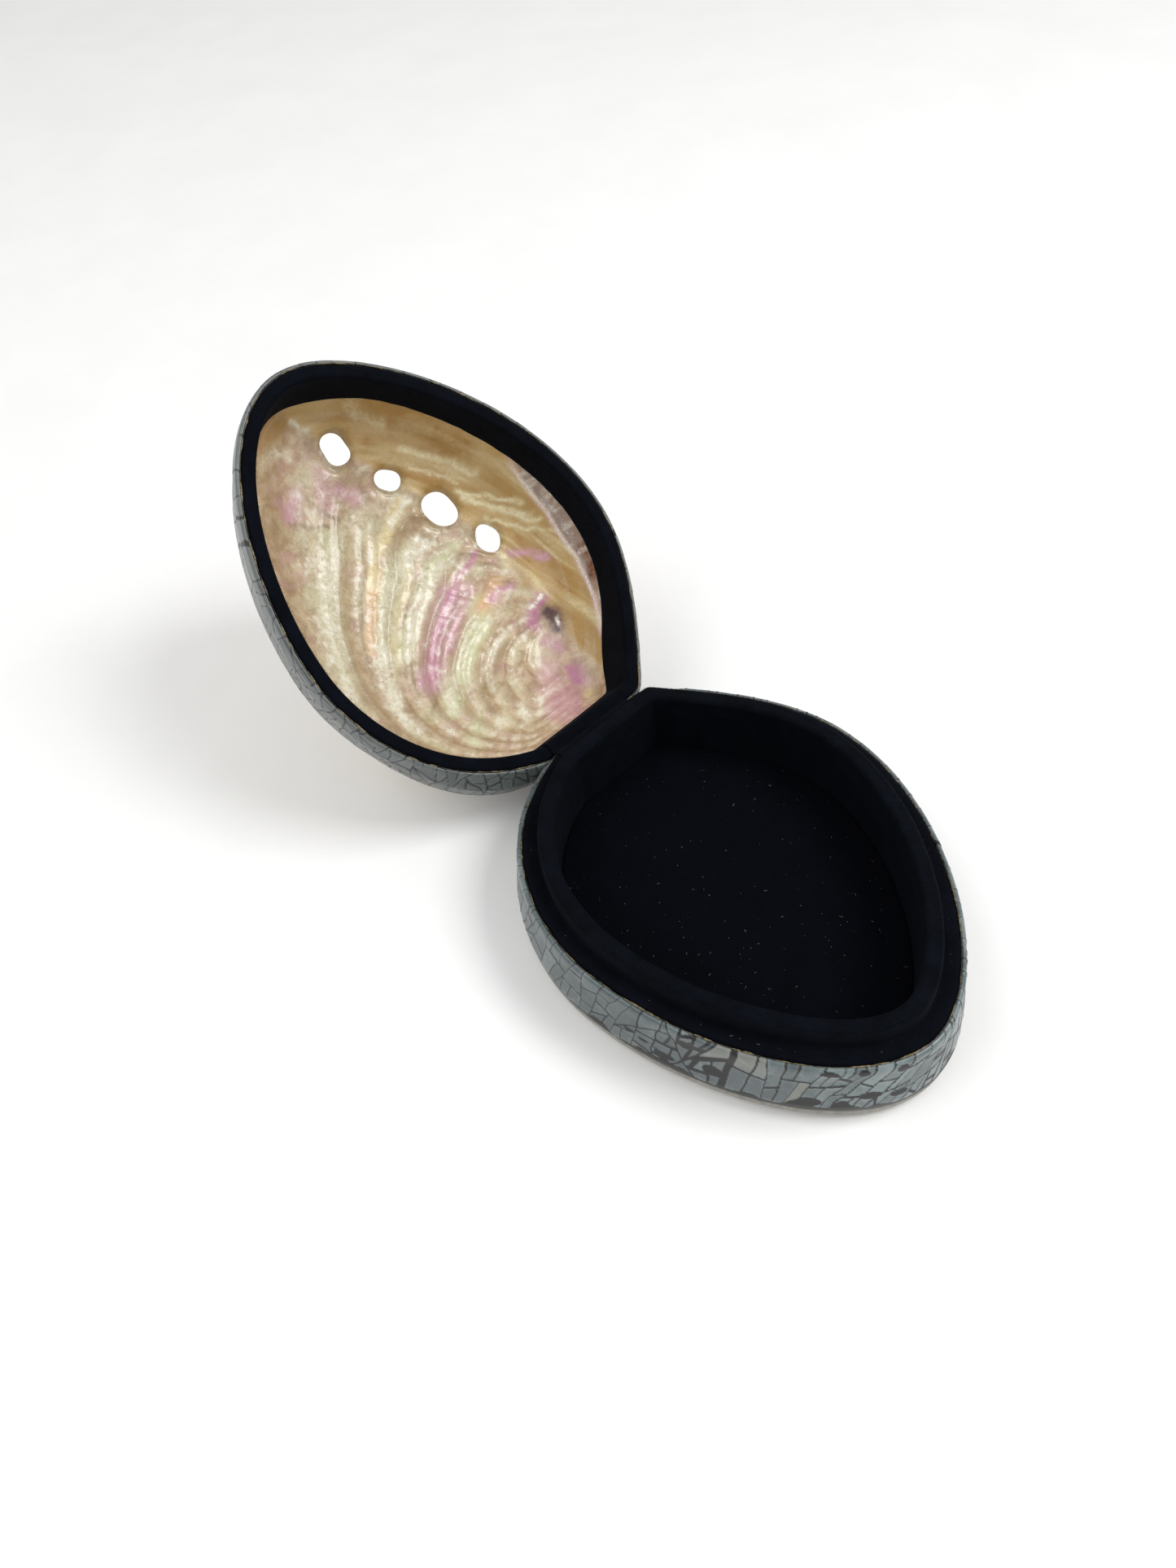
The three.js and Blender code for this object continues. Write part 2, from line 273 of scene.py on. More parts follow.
@dataclass(frozen=True)
class Rim:
    """The plan outline of the two velvet rims, which every piece follows.

    Its reaches are distances from the origin, and its fullness is given by the lengths of the
    handles of its four Bezier curves.
    """

    tip_reach: float = 56.0
    back_reach: float = 56.0
    right_reach: float = 45.0
    left_reach: float = 44.7
    tip_x: float = -6.0
    widest_right_y: float = 9.4
    widest_left_y: float = 8.7
    hinge_right_x: float = 23.4
    hinge_left_x: float = -8.0
    right_shoulder: float = 13.8
    right_flank: float = 32.9
    tip_right_round: float = 18.8
    tip_left_round: float = 21.2
    left_flank: float = 29.3
    left_shoulder: float = 11.4
    left_back_run: float = 32.2
    right_back_run: float = 18.0
    left_back_angle: float = 0.28
    right_back_angle: float = 0.94
    hinge_corner_round: float = 6.0
    steps: int = 96

    def curves(self) -> list[list[tuple[float, float]]]:
        """Control points of the outline's curves, clockwise from the hinge."""
        hinge_round = self.hinge_corner_round
        right_cosine, right_sine = math.cos(self.right_back_angle), math.sin(self.right_back_angle)
        left_cosine, left_sine = math.cos(self.left_back_angle), math.sin(self.left_back_angle)
        start = (self.hinge_right_x - hinge_round, self.back_reach)
        knee = (self.hinge_right_x, self.back_reach)
        corner = (knee[0] + hinge_round * right_cosine, knee[1] - hinge_round * right_sine)
        run = self.right_back_run
        after_corner = (corner[0] + run * right_cosine, corner[1] - run * right_sine)
        tip = (self.tip_x, -self.tip_reach)
        right = (self.right_reach, self.widest_right_y)
        left = (-self.left_reach, self.widest_left_y)
        end = (self.hinge_left_x, self.back_reach)
        before_end = (end[0] - self.left_back_run * left_cosine, end[1] - self.left_back_run * left_sine)
        return [
            [start, knee, knee, corner],
            [corner, after_corner, (right[0], right[1] + self.right_shoulder), right],
            [right, (right[0], right[1] - self.right_flank), (tip[0] + self.tip_right_round, tip[1]), tip],
            [tip, (tip[0] - self.tip_left_round, tip[1]), (left[0], left[1] - self.left_flank), left],
            [left, (left[0], left[1] + self.left_shoulder), before_end, end],
            [end, end, start, start],
        ]

    def tangents(self) -> tuple[Array, Array]:
        """Points of the outline and its outward normals: each Bezier curve and its derivative."""
        share = ((np.arange(self.steps) + 0.5) / self.steps)[:, None]
        points = []
        normals = []
        for curve in self.curves():
            a, b, c, d = (np.array(corner) for corner in curve)
            away = 1 - share
            points.append(away**3 * a + 3 * away**2 * share * b + 3 * away * share**2 * c + share**3 * d)
            along = away**2 * (b - a) + 2 * away * share * (c - b) + share**2 * (d - c)
            normal = np.stack([-along[:, 1], along[:, 0]], axis=1)
            normals.append(normal / np.linalg.norm(normal, axis=1)[:, None])
        return np.concatenate(points), np.concatenate(normals)

    def reach(self, angles: Array, inset: float = 0.0, centre: tuple[float, float] = (0.0, 0.0)) -> Array:
        """Distance from a centre to the outline moved inwards.

        It is the smallest of the distances to the outline's tangent lines, each moved inwards.

        Args:
            angles: Directions in radians.
            inset: How far the outline is moved inwards. It moves outwards where this is negative.
            centre: Where the distance starts.

        Returns:
            One distance for each angle.
        """
        points, normals = self.tangents()
        facing = normals @ np.stack([np.cos(angles), np.sin(angles)])
        support = ((points - np.array(centre)) * normals).sum(axis=1)[:, None] - inset
        return np.where(facing > 0.001, support / np.maximum(facing, 0.001), np.inf).min(axis=0)

    def share_of(self, x: Array, y: Array, inset: float, centre: tuple[float, float]) -> tuple[Array, Array]:
        """How far out points lie, as a share of the reach in their own direction.

        Args:
            x: Points' x.
            y: Points' y.
            inset: As for reach.
            centre: As for reach.

        Returns:
            The share, 0 at the centre and 1 on the moved outline, and the angle in radians.
        """
        table = np.linspace(-math.pi, math.pi, 1441)
        reaches = self.reach(table, inset, centre)
        angle = np.arctan2(y - centre[1], x - centre[0])
        return np.hypot(x - centre[0], y - centre[1]) / np.interp(angle, table, reaches), angle


@dataclass(frozen=True)
class Hinge:
    """The lid's hinge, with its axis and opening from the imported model."""

    axis_y: float
    axis_z: float
    opening: float
    stop_gap: float = 0.3
    shut_gap: float = 1.0
    rim_height: float = 21.0

    @property
    def shut_rim(self) -> float:
        """Height of the lid's own rim above the hinge axis when the lid is shut."""
        return self.rim_height - self.axis_z + self.shut_gap

    def opened(self, points: Array) -> Array:
        """Turn lid points from shut, in heights above the lid's rim, to fully open.

        Args:
            points: Rows of x, y and height above the lid's rim.

        Returns:
            The points turned back about the hinge axis by the opening.
        """
        cosine = math.cos(-self.opening)
        sine = math.sin(-self.opening)
        back = points[:, 1] - self.axis_y
        up = points[:, 2] + self.shut_rim
        return np.stack(
            [points[:, 0], self.axis_y + back * cosine - up * sine, self.axis_z + back * sine + up * cosine],
            axis=1,
        )

    def held_back(self, radius: Array, angles: Array, distance: Array) -> Array:
        """Cut radii back beside the hinge, so that the two bands only just meet there.

        Args:
            radius: Radii round the box.
            angles: Their directions in radians.
            distance: Height between the hinge axis and the corner.

        Returns:
            Radii whose y stays inside the wedge that each band may fill.
        """
        limit = self.axis_y + distance * math.tan((math.pi - self.opening) / 2) - self.stop_gap / 2
        sine = np.sin(angles)
        return np.where(sine > 0.05, np.minimum(radius, limit / np.maximum(sine, 0.05)), radius)


def hinge_of_frame() -> Hinge:
    """Read the hinge's axis and range from the frame's one joint."""
    joint = frame["joints"][0]
    place = joint["pos_m"]
    return Hinge(place[1] / MM, place[2] / MM, math.radians(joint["range_deg"][1]))


RIM = Rim()
HINGE = hinge_of_frame()


def rays(count: int) -> Array:
    """Directions of evenly spaced rays round the box, in radians."""
    return np.arange(count) * TURN / count


def stack_section(angles: Array, corners: Corners) -> Array:
    """Put a section's corners into one array.

    Args:
        angles: Directions of the rays.
        corners: Radius and height of each corner, as numbers or one for each ray.

    Returns:
        An array of rays by corners by radius and height.
    """
    rows = [np.stack(np.broadcast_arrays(radius, height, angles)[:2], axis=1) for radius, height in corners]
    return np.stack(rows, axis=1).astype(float)


def rounded(section: Array, spacing: float, softness: float, closing: Closing) -> tuple[Array, Array]:
    """Resample a section evenly and round its corners.

    Points are spread along the section's mean length, and each is then the bell-weighted mean of
    its neighbours, which turns a corner into a soft bend.

    Args:
        section: Rays by corners by radius and height.
        spacing: Distance between the new points.
        softness: Spread of the weights along the section.
        closing: Whether the section meets itself.

    Returns:
        The new section, and the length along it of each new point.
    """
    ring = closing is Closing.RING
    loop = np.concatenate([section, section[:, :1]], axis=1) if ring else section
    steps = np.linalg.norm(np.diff(loop, axis=1), axis=2).mean(axis=0) + 1e-6
    corners = np.concatenate([[0.0], np.cumsum(steps)])
    count = max(int(round(corners[-1] / spacing)), 4)
    along = np.arange(count) * corners[-1] / (count if ring else count - 1)
    start = np.clip(np.searchsorted(corners, along, side="right") - 1, 0, len(steps) - 1)
    share = ((along - corners[start]) / steps[start])[None, :, None]
    fine = loop[:, start] * (1 - share) + loop[:, start + 1] * share
    near = int(math.ceil(2.5 * softness / spacing))
    blurred = np.zeros_like(fine)
    weight = 0.0
    for offset in range(-near, near + 1):
        bell = math.exp(-((offset * spacing / max(softness, 1e-6)) ** 2))
        places = np.arange(count) + offset
        places = places % count if ring else np.clip(places, 0, count - 1)
        blurred += bell * fine[:, places]
        weight += bell
    return blurred / weight, along


def section_normals(section: Array) -> Array:
    """Outward normals of closed sections: their tangents turned by a right angle."""
    along = np.roll(section, -1, axis=1) - np.roll(section, 1, axis=1)
    normal = np.stack([along[:, :, 1], -along[:, :, 0]], axis=2)
    return normal / np.maximum(np.linalg.norm(normal, axis=2, keepdims=True), 1e-9)


def sweep(angles: Array, section: Array, closing: Closing) -> tuple[Array, Faces]:
    """Sweep sections round the box.

    A point is (radius cos a, radius sin a, height). A disc's ends are closed with fans on the axis.

    Args:
        angles: Directions of the rays.
        section: Rays by points by radius and height.
        closing: Ring or disc.

    Returns:
        Points in rows of x, y, z, and the faces.
    """
    count, size = section.shape[:2]
    radius = section[:, :, 0]
    points = np.stack(
        [radius * np.cos(angles)[:, None], radius * np.sin(angles)[:, None], section[:, :, 1]], axis=2
    ).reshape(-1, 3)
    sides = size if closing is Closing.RING else size - 1
    ray, side = np.meshgrid(np.arange(count), np.arange(sides), indexing="ij")
    after = (ray + 1) % count
    far = (side + 1) % size
    quads = np.stack([ray * size + side, after * size + side, after * size + far, ray * size + far], axis=2)
    faces = [tuple(quad) for quad in quads.reshape(-1, 4).tolist()]
    if closing is Closing.DISC:
        bottom = len(points)
        axis_ends = [[0.0, 0.0, section[:, 0, 1].mean()], [0.0, 0.0, section[:, -1, 1].mean()]]
        points = np.concatenate([points, np.array(axis_ends)])
        here = np.arange(count)
        there = (here + 1) % count
        faces += list(zip([bottom] * count, (there * size).tolist(), (here * size).tolist()))
        top = (here * size + size - 1).tolist()
        faces += list(zip([bottom + 1] * count, top, (there * size + size - 1).tolist()))
    return points, faces


@dataclass(frozen=True)
class NacreFinish:
    """Polished mother of pearl: aragonite plates, glossy, with soft patches of pink, green and gold.

    Its growth bands and their tints come from fields on the mesh, and the hammered speckle that
    breaks them up is noise of about a millimetre. Some fields paint light: painted highlights on the
    ridge crests, the spire and the fold, and painted shade in the valleys and round the holes.
    """

    dark: str = "#9E8263"
    ground: str = "#B99D7C"
    light: str = "#D3BD9E"
    # Cream lies in the light field: the shell's cream bands, and painted highlights on the ridge crests.
    cream: str = "#E2DAC0"
    # The glint colour is a painted highlight, laid by the gleam field.
    painted_glint: str = "#FFFDF0"
    green: str = "#D3D5A8"
    peach: str = "#E8BA8A"
    yellow_and_highlight: str = "#EBD9A0"
    pink: str = "#D69FB3"
    magenta: str = "#BB7595"
    golden: str = "#C9AA70"
    amber: str = "#AE8440"
    golden_light: str = "#EDE0B4"
    strip: str = "#9B8982"
    pit: str = "#5A3B3E"
    rust: str = "#70330F"
    # Olive is painted shade: in the ridge valleys, along the dark lines between bands and round the holes.
    olive_shade: str = "#8C744C"
    speckle_mm: float = 1.0
    mottle_mm: float = 3.4
    grain_mm: float = 0.4
    ior: float = 1.56
    roughness: float = 0.3
    coat: float = 0.4
    coat_roughness: float = 0.14
    bump: float = 0.6
    bump_mm: float = 0.1

    def noise(self, tree: Tree, place: Socket, size_mm: float) -> Socket:
        """Noise of a real size, stretched so that it covers the whole range from 0 to 1.

        Args:
            tree: The material's node tree.
            place: Object coordinates.
            size_mm: Size of the noise's features.

        Returns:
            The noise's value.
        """
        values = {"Vector": place, "Scale": per_metre(size_mm), "Detail": 3.0}
        values.update({"Roughness": 0.6, "Distortion": 0.5})
        plain = add_node(tree, "ShaderNodeTexNoise", values).outputs["Fac"]
        middle = {"Value": plain, "From Min": 0.33, "From Max": 0.67}
        return add_node(tree, "ShaderNodeMapRange", middle).outputs["Result"]

    def material(self) -> Material:
        """Build the material.

        A tint's share is its field f, broken up by noise n: f times (1 - s + 2sn), clipped, where s
        is the tint's own roughness.
        """
        material, tree, place = new_material("nacre_polished")
        speckle = self.noise(tree, place, self.speckle_mm)
        mottle = self.noise(tree, place, self.mottle_mm)
        grain = self.noise(tree, place, self.grain_mm)
        both = add_node(tree, "ShaderNodeMath", {0: grain, 1: 0.25, 2: mottle}, MULTIPLY_ADD).outputs[0]
        grounds = [(0.0, self.dark), (0.55, self.ground), (1.0, self.light)]
        colour = add_node(tree, "ShaderNodeValToRGB", {"Fac": both}, ramp=grounds).outputs["Color"]
        tints = [
            ("golden", self.golden, mottle, 0.12),
            ("amber", self.amber, mottle, 0.3),
            ("green", self.green, speckle, 0.4),
            ("peach", self.peach, speckle, 0.4),
            ("yellow_and_highlight", self.yellow_and_highlight, speckle, 0.4),
            ("pink", self.pink, speckle, 0.5),
            ("magenta", self.magenta, speckle, 0.5),
            # The olive tint is painted shade.
            ("olive_shade", self.olive_shade, mottle, 0.3),
            # The light tint is partly the shell's cream bands and partly painted highlights.
            ("light", self.cream, speckle, 0.6),
            ("streak", self.golden_light, speckle, 0.4),
            ("strip", self.strip, speckle, 0.3),
            ("pit", self.pit, speckle, 0.2),
            ("rust", self.rust, speckle, 0.4),
            # Gleam is painted highlight: near-white glints, not a colour of the shell.
            ("gleam", self.painted_glint, grain, 0.9),
        ]
        for name, tint, noise, strength in tints:
            amount = add_node(tree, "ShaderNodeAttribute", settings={"attribute_name": name}).outputs["Fac"]
            uneven = {0: noise, 1: 2 * strength, 2: 1 - strength}
            rough = add_node(tree, "ShaderNodeMath", uneven, MULTIPLY_ADD).outputs[0]
            clamped = {"operation": "MULTIPLY", "use_clamp": True}
            held = add_node(tree, "ShaderNodeMath", {0: amount, 1: rough}, clamped).outputs[0]
            layer = {"Factor": held, "A": colour, "B": linear(tint)}
            colour = add_node(tree, "ShaderNodeMix", layer, COLOURS).outputs["Result"]
        relief = add_node(tree, "ShaderNodeMath", {0: grain, 1: 0.35, 2: speckle}, MULTIPLY_ADD).outputs[0]
        hammered = {"Height": relief, "Strength": self.bump, "Distance": self.bump_mm * MM}
        shines = {"Value": speckle, "To Min": self.roughness - 0.05, "To Max": self.roughness + 0.1}
        values = {
            "Base Color": colour,
            "Roughness": add_node(tree, "ShaderNodeMapRange", shines).outputs["Result"],
            "IOR": self.ior,
            "Normal": add_node(tree, "ShaderNodeBump", hammered).outputs["Normal"],
            "Coat Weight": self.coat,
            "Coat Roughness": self.coat_roughness,
        }
        return surfaced(material, values)


@dataclass(frozen=True)
class MosaicFinish:
    """Flat pieces of shell laid in dark filler and ground smooth under clear lacquer.

    A piece's tone and the filler between the pieces are fields on the mesh, and the tone also
    holds painted light and shade. The pieces are cool grey with a satin gleam, and the filler is
    charcoal and duller.
    """

    shade: str = "#394345"
    plate: str = "#535E60"
    pale: str = "#7F8B8C"
    warm: str = "#807B6D"
    filler: str = "#010101"
    filler_light: str = "#060707"
    cloud_mm: float = 4.0
    grain_mm: float = 0.5
    ior: float = 1.52
    roughness: float = 0.32
    coat: float = 0.15
    coat_roughness: float = 0.15
    bump: float = 0.25
    bump_mm: float = 0.2

    def material(self, name: str) -> Material:
        """Build the material.

        Args:
            name: The material's name.

        Returns:
            The material, which reads the fields tone, warm and filler.
        """
        material, tree, place = new_material(name)
        clouds = {"Vector": place, "Scale": per_metre(self.cloud_mm), "Detail": 3.0, "Distortion": 1.2}
        cloud = add_node(tree, "ShaderNodeTexNoise", clouds).outputs["Fac"]
        grains = {"Vector": place, "Scale": per_metre(self.grain_mm), "Detail": 2.0}
        grain = add_node(tree, "ShaderNodeTexNoise", grains).outputs["Fac"]
        tone, warmth, between = (
            add_node(tree, "ShaderNodeAttribute", settings={"attribute_name": mark}).outputs["Fac"]
            for mark in ("tone", "warm", "filler")
        )
        clouded = add_node(tree, "ShaderNodeMath", {0: cloud, 1: 0.55, 2: tone}, MULTIPLY_ADD).outputs[0]
        tones = [(0.3, self.shade), (0.62, self.plate), (1.0, self.pale)]
        plates = add_node(tree, "ShaderNodeValToRGB", {"Fac": clouded}, ramp=tones).outputs["Color"]
        warmed = {"Factor": warmth, "A": plates, "B": linear(self.warm)}
        plates = add_node(tree, "ShaderNodeMix", warmed, COLOURS).outputs["Result"]
        darks = [(0.35, self.filler), (0.7, self.filler_light)]
        fillers = add_node(tree, "ShaderNodeValToRGB", {"Fac": grain}, ramp=darks).outputs["Color"]
        laid = {"Factor": between, "A": plates, "B": fillers}
        ground = {"Height": cloud, "Strength": self.bump, "Distance": self.bump_mm * MM}
        shines = {"Value": between, "To Min": self.roughness, "To Max": self.roughness + 0.25}
        values = {
            "Base Color": add_node(tree, "ShaderNodeMix", laid, COLOURS).outputs["Result"],
            "Roughness": add_node(tree, "ShaderNodeMapRange", shines).outputs["Result"],
            "IOR": self.ior,
            "Normal": add_node(tree, "ShaderNodeBump", ground).outputs["Normal"],
            "Coat Weight": self.coat,
            "Coat Roughness": self.coat_roughness,
        }
        return surfaced(material, values)


@dataclass(frozen=True)
class VelvetFinish:
    """Flocked velvet, blue-black: a dense short pile that takes light only at grazing angles."""

    pile: str = "#020408"
    brushed: str = "#090D16"
    sheen_tint: str = "#27303F"
    brush_mm: float = 6.0
    pile_mm: float = 0.35
    roughness: float = 0.95
    specular: float = 0.08
    sheen: float = 0.12
    sheen_roughness: float = 0.4
    bump: float = 0.8
    bump_mm: float = 0.25

    def material(self, name: str) -> Material:
        """Build the material: patches brushed lighter, and a fine pile in the bump.

        Args:
            name: The material's name.

        Returns:
            The material.
        """
        material, tree, place = new_material(name)
        brushes = {"Vector": place, "Scale": per_metre(self.brush_mm), "Detail": 5.0, "Roughness": 0.65}
        brush = add_node(tree, "ShaderNodeTexNoise", brushes).outputs["Fac"]
        piles = {"Vector": place, "Scale": per_metre(self.pile_mm), "Detail": 2.0}
        pile = add_node(tree, "ShaderNodeTexNoise", piles).outputs["Fac"]
        both = add_node(tree, "ShaderNodeMath", {0: pile, 1: 0.5, 2: brush}, MULTIPLY_ADD).outputs[0]
        blacks = [(0.55, self.pile), (1.0, self.brushed)]
        napped = {"Height": pile, "Strength": self.bump, "Distance": self.bump_mm * MM}
        values = {
            "Base Color": add_node(tree, "ShaderNodeValToRGB", {"Fac": both}, ramp=blacks).outputs["Color"],
            "Roughness": self.roughness,
            "Specular IOR Level": self.specular,
            "Normal": add_node(tree, "ShaderNodeBump", napped).outputs["Normal"],
            "Sheen Weight": self.sheen,
            "Sheen Roughness": self.sheen_roughness,
            "Sheen Tint": linear(self.sheen_tint),
        }
        return surfaced(material, values)


@dataclass(frozen=True)
class SpeckledFinish:
    """A plain opaque material with a little speckle, such as cast board, dried glue or lint."""

    name: str
    dark: str
    light: str
    speckle_mm: float
    roughness: float
    bump: float = 0.5
    bump_mm: float = 0.05

    def material(self) -> Material:
        """Build the material: two colours mixed by noise, which also makes the bump."""
        material, tree, place = new_material(self.name)
        speckles = {"Vector": place, "Scale": per_metre(self.speckle_mm), "Detail": 4.0, "Roughness": 0.6}
        speckle = add_node(tree, "ShaderNodeTexNoise", speckles).outputs["Fac"]
        shades = [(0.35, self.dark), (0.65, self.light)]
        colour = add_node(tree, "ShaderNodeValToRGB", {"Fac": speckle}, ramp=shades).outputs["Color"]
        rough = {"Height": speckle, "Strength": self.bump, "Distance": self.bump_mm * MM}
        values = {
            "Base Color": colour,
            "Roughness": self.roughness,
            "Normal": add_node(tree, "ShaderNodeBump", rough).outputs["Normal"],
        }
        return surfaced(material, values)


class Finishes:
    """The box's materials, each built once."""

    def __init__(self) -> None:
        """Build every material."""
        self.nacre = NacreFinish().material()
        self.tray_mosaic = MosaicFinish().material("shell_mosaic_tray")
        greys = {"shade": "#454A49", "plate": "#575D5C", "pale": "#6C7271"}
        lid_mosaic = MosaicFinish(**greys, filler="#030303", filler_light="#0C0D0D")
        self.lid_mosaic = lid_mosaic.material("shell_mosaic_lid")
        self.velvet = VelvetFinish().material("velvet_flocked")
        # The floor pad's velvet is a darker copy of the liner's velvet with less sheen: painted shade of the
        # deep floor.
        self.shaded_pad_velvet = VelvetFinish(pile="#010207", brushed="#03050C", sheen=0.04).material("velvet_pad_shaded")
        self.board = SpeckledFinish("cast_board", "#7E7C75", "#9B988F", 1.4, 0.5).material()
        self.glue = SpeckledFinish("dried_glue", "#3F3828", "#8A7A56", 0.8, 0.35).material()
        self.lint = SpeckledFinish("lint", "#6B6961", "#A5A093", 0.6, 0.9).material()


def finish_piece(piece: Piece, material: Material, body: str) -> None:
    """Give a piece its material, body and material slot.

    Args:
        piece: The finished mesh.
        material: Its material.
        body: The body that it rides on.
    """
    piece.data.materials.clear()
    piece.data.materials.append(material)
    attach(piece, body)
    LOG.info("%s: %d faces on %s", piece.name, len(piece.data.polygons), body)


@dataclass(frozen=True)
class Oval:
    """A dark oval of filler in the mosaic, by its angle round the box, depth and size."""

    degrees: float
    depth: float
    long: float
    tall: float


@dataclass(frozen=True)
class Crackle:
    """Shell pieces broken from larger plates and laid close together.

    The band is first cut by its named seams, and each part is then split again and again by
    straight cracks until its pieces are small enough. A field of gentle noise bends the cracks.
    """

    seed: int
    seams: tuple[tuple[float, float, float], ...]
    sizes: tuple[tuple[float, float], ...]
    cracks: tuple[tuple[float, float], ...]
    ovals: tuple[Oval, ...] = ()
    shears: tuple[tuple[float, float], ...] = ((0.0, 0.0), (360.0, 0.0))
    bend: float = 0.8
    lean: float = 0.2
    stretch: float = 1.5

    def lay(self, angle: Array, along: Array, depth: Array, cell: float) -> tuple[Array, Array]:
        """Split points of the band into pieces.

        Each crack is a straight line, and a point's distance to its own piece's edge is the
        smallest distance to the lines that cut the piece out.

        Args:
            angle: Direction of each point, in degrees.
            along: Length round the band.
            depth: Length down the band from its top.
            cell: Area of the band that one point stands for.

        Returns:
            The number of each point's piece, and its distance to the piece's edge.
        """
        draw = np.random.default_rng(self.seed)
        warp_x = layered_noise(along / 7.0, depth / 6.0, self.seed + 11, 2) - 0.5
        warp_y = layered_noise(along / 9.0, depth / 6.0, self.seed + 17, 2) - 0.5
        v = depth + 2 * self.bend * warp_y
        shear_angles, shears = zip(*self.shears)
        u = (along + 2 * self.bend * warp_x) * self.stretch + np.interp(angle, shear_angles, shears) * v
        edge = np.full(along.shape, 9.0)
        piece = np.zeros(along.shape, int)
        parts = [np.arange(along.size)]
        order = np.argsort(angle)
        for degrees, half_width, slant in self.seams:
            middle = np.interp(degrees, angle[order], u[order])
            signed = u - middle + slant * (v - v.mean())
            edge = np.minimum(edge, np.abs(signed) - half_width)
            parts = [half for part in parts for half in (part[signed[part] > 0], part[signed[part] <= 0])]
        knots, wanted = zip(*self.sizes)
        crack_knots, crack_widths = zip(*self.cracks)
        number = 0
        while parts:
            part = parts.pop()
            if part.size < 4:
                continue
            middle = np.median(angle[part])
            size = np.interp(middle, knots, wanted) * draw.uniform(0.75, 1.3)
            wide = np.ptp(u[part])
            tall = np.ptp(v[part])
            if part.size * cell < size * size:
                number += 1
                piece[part] = number
                continue
            spread = 3.0 * self.lean if draw.random() < 0.15 else self.lean
            lean = draw.normal(0.0, spread) + (0.0 if wide > tall else math.pi / 2)
            spot = (
                (u[part].min() + u[part].max()) / 2 + draw.uniform(-0.15, 0.15) * wide,
                (v[part].min() + v[part].max()) / 2 + draw.uniform(-0.15, 0.15) * tall,
            )
            signed = (u[part] - spot[0]) * math.cos(lean) + (v[part] - spot[1]) * math.sin(lean)
            if min((signed > 0).sum(), (signed <= 0).sum()) < 4:
                number += 1
                piece[part] = number
                continue
            half_width = np.interp(middle, crack_knots, crack_widths) * draw.uniform(0.6, 1.5)
            edge[part] = np.minimum(edge[part], np.abs(signed) - half_width)
            parts += [part[signed > 0], part[signed <= 0]]
        for oval in self.ovals:
            middle = np.interp(oval.degrees, angle[order], along[order])
            inside = np.hypot((along - middle) / oval.long * 2, (depth - oval.depth) / oval.tall * 2)
            edge = np.minimum(edge, (inside - 1.0) * oval.tall / 2)
        return piece, edge


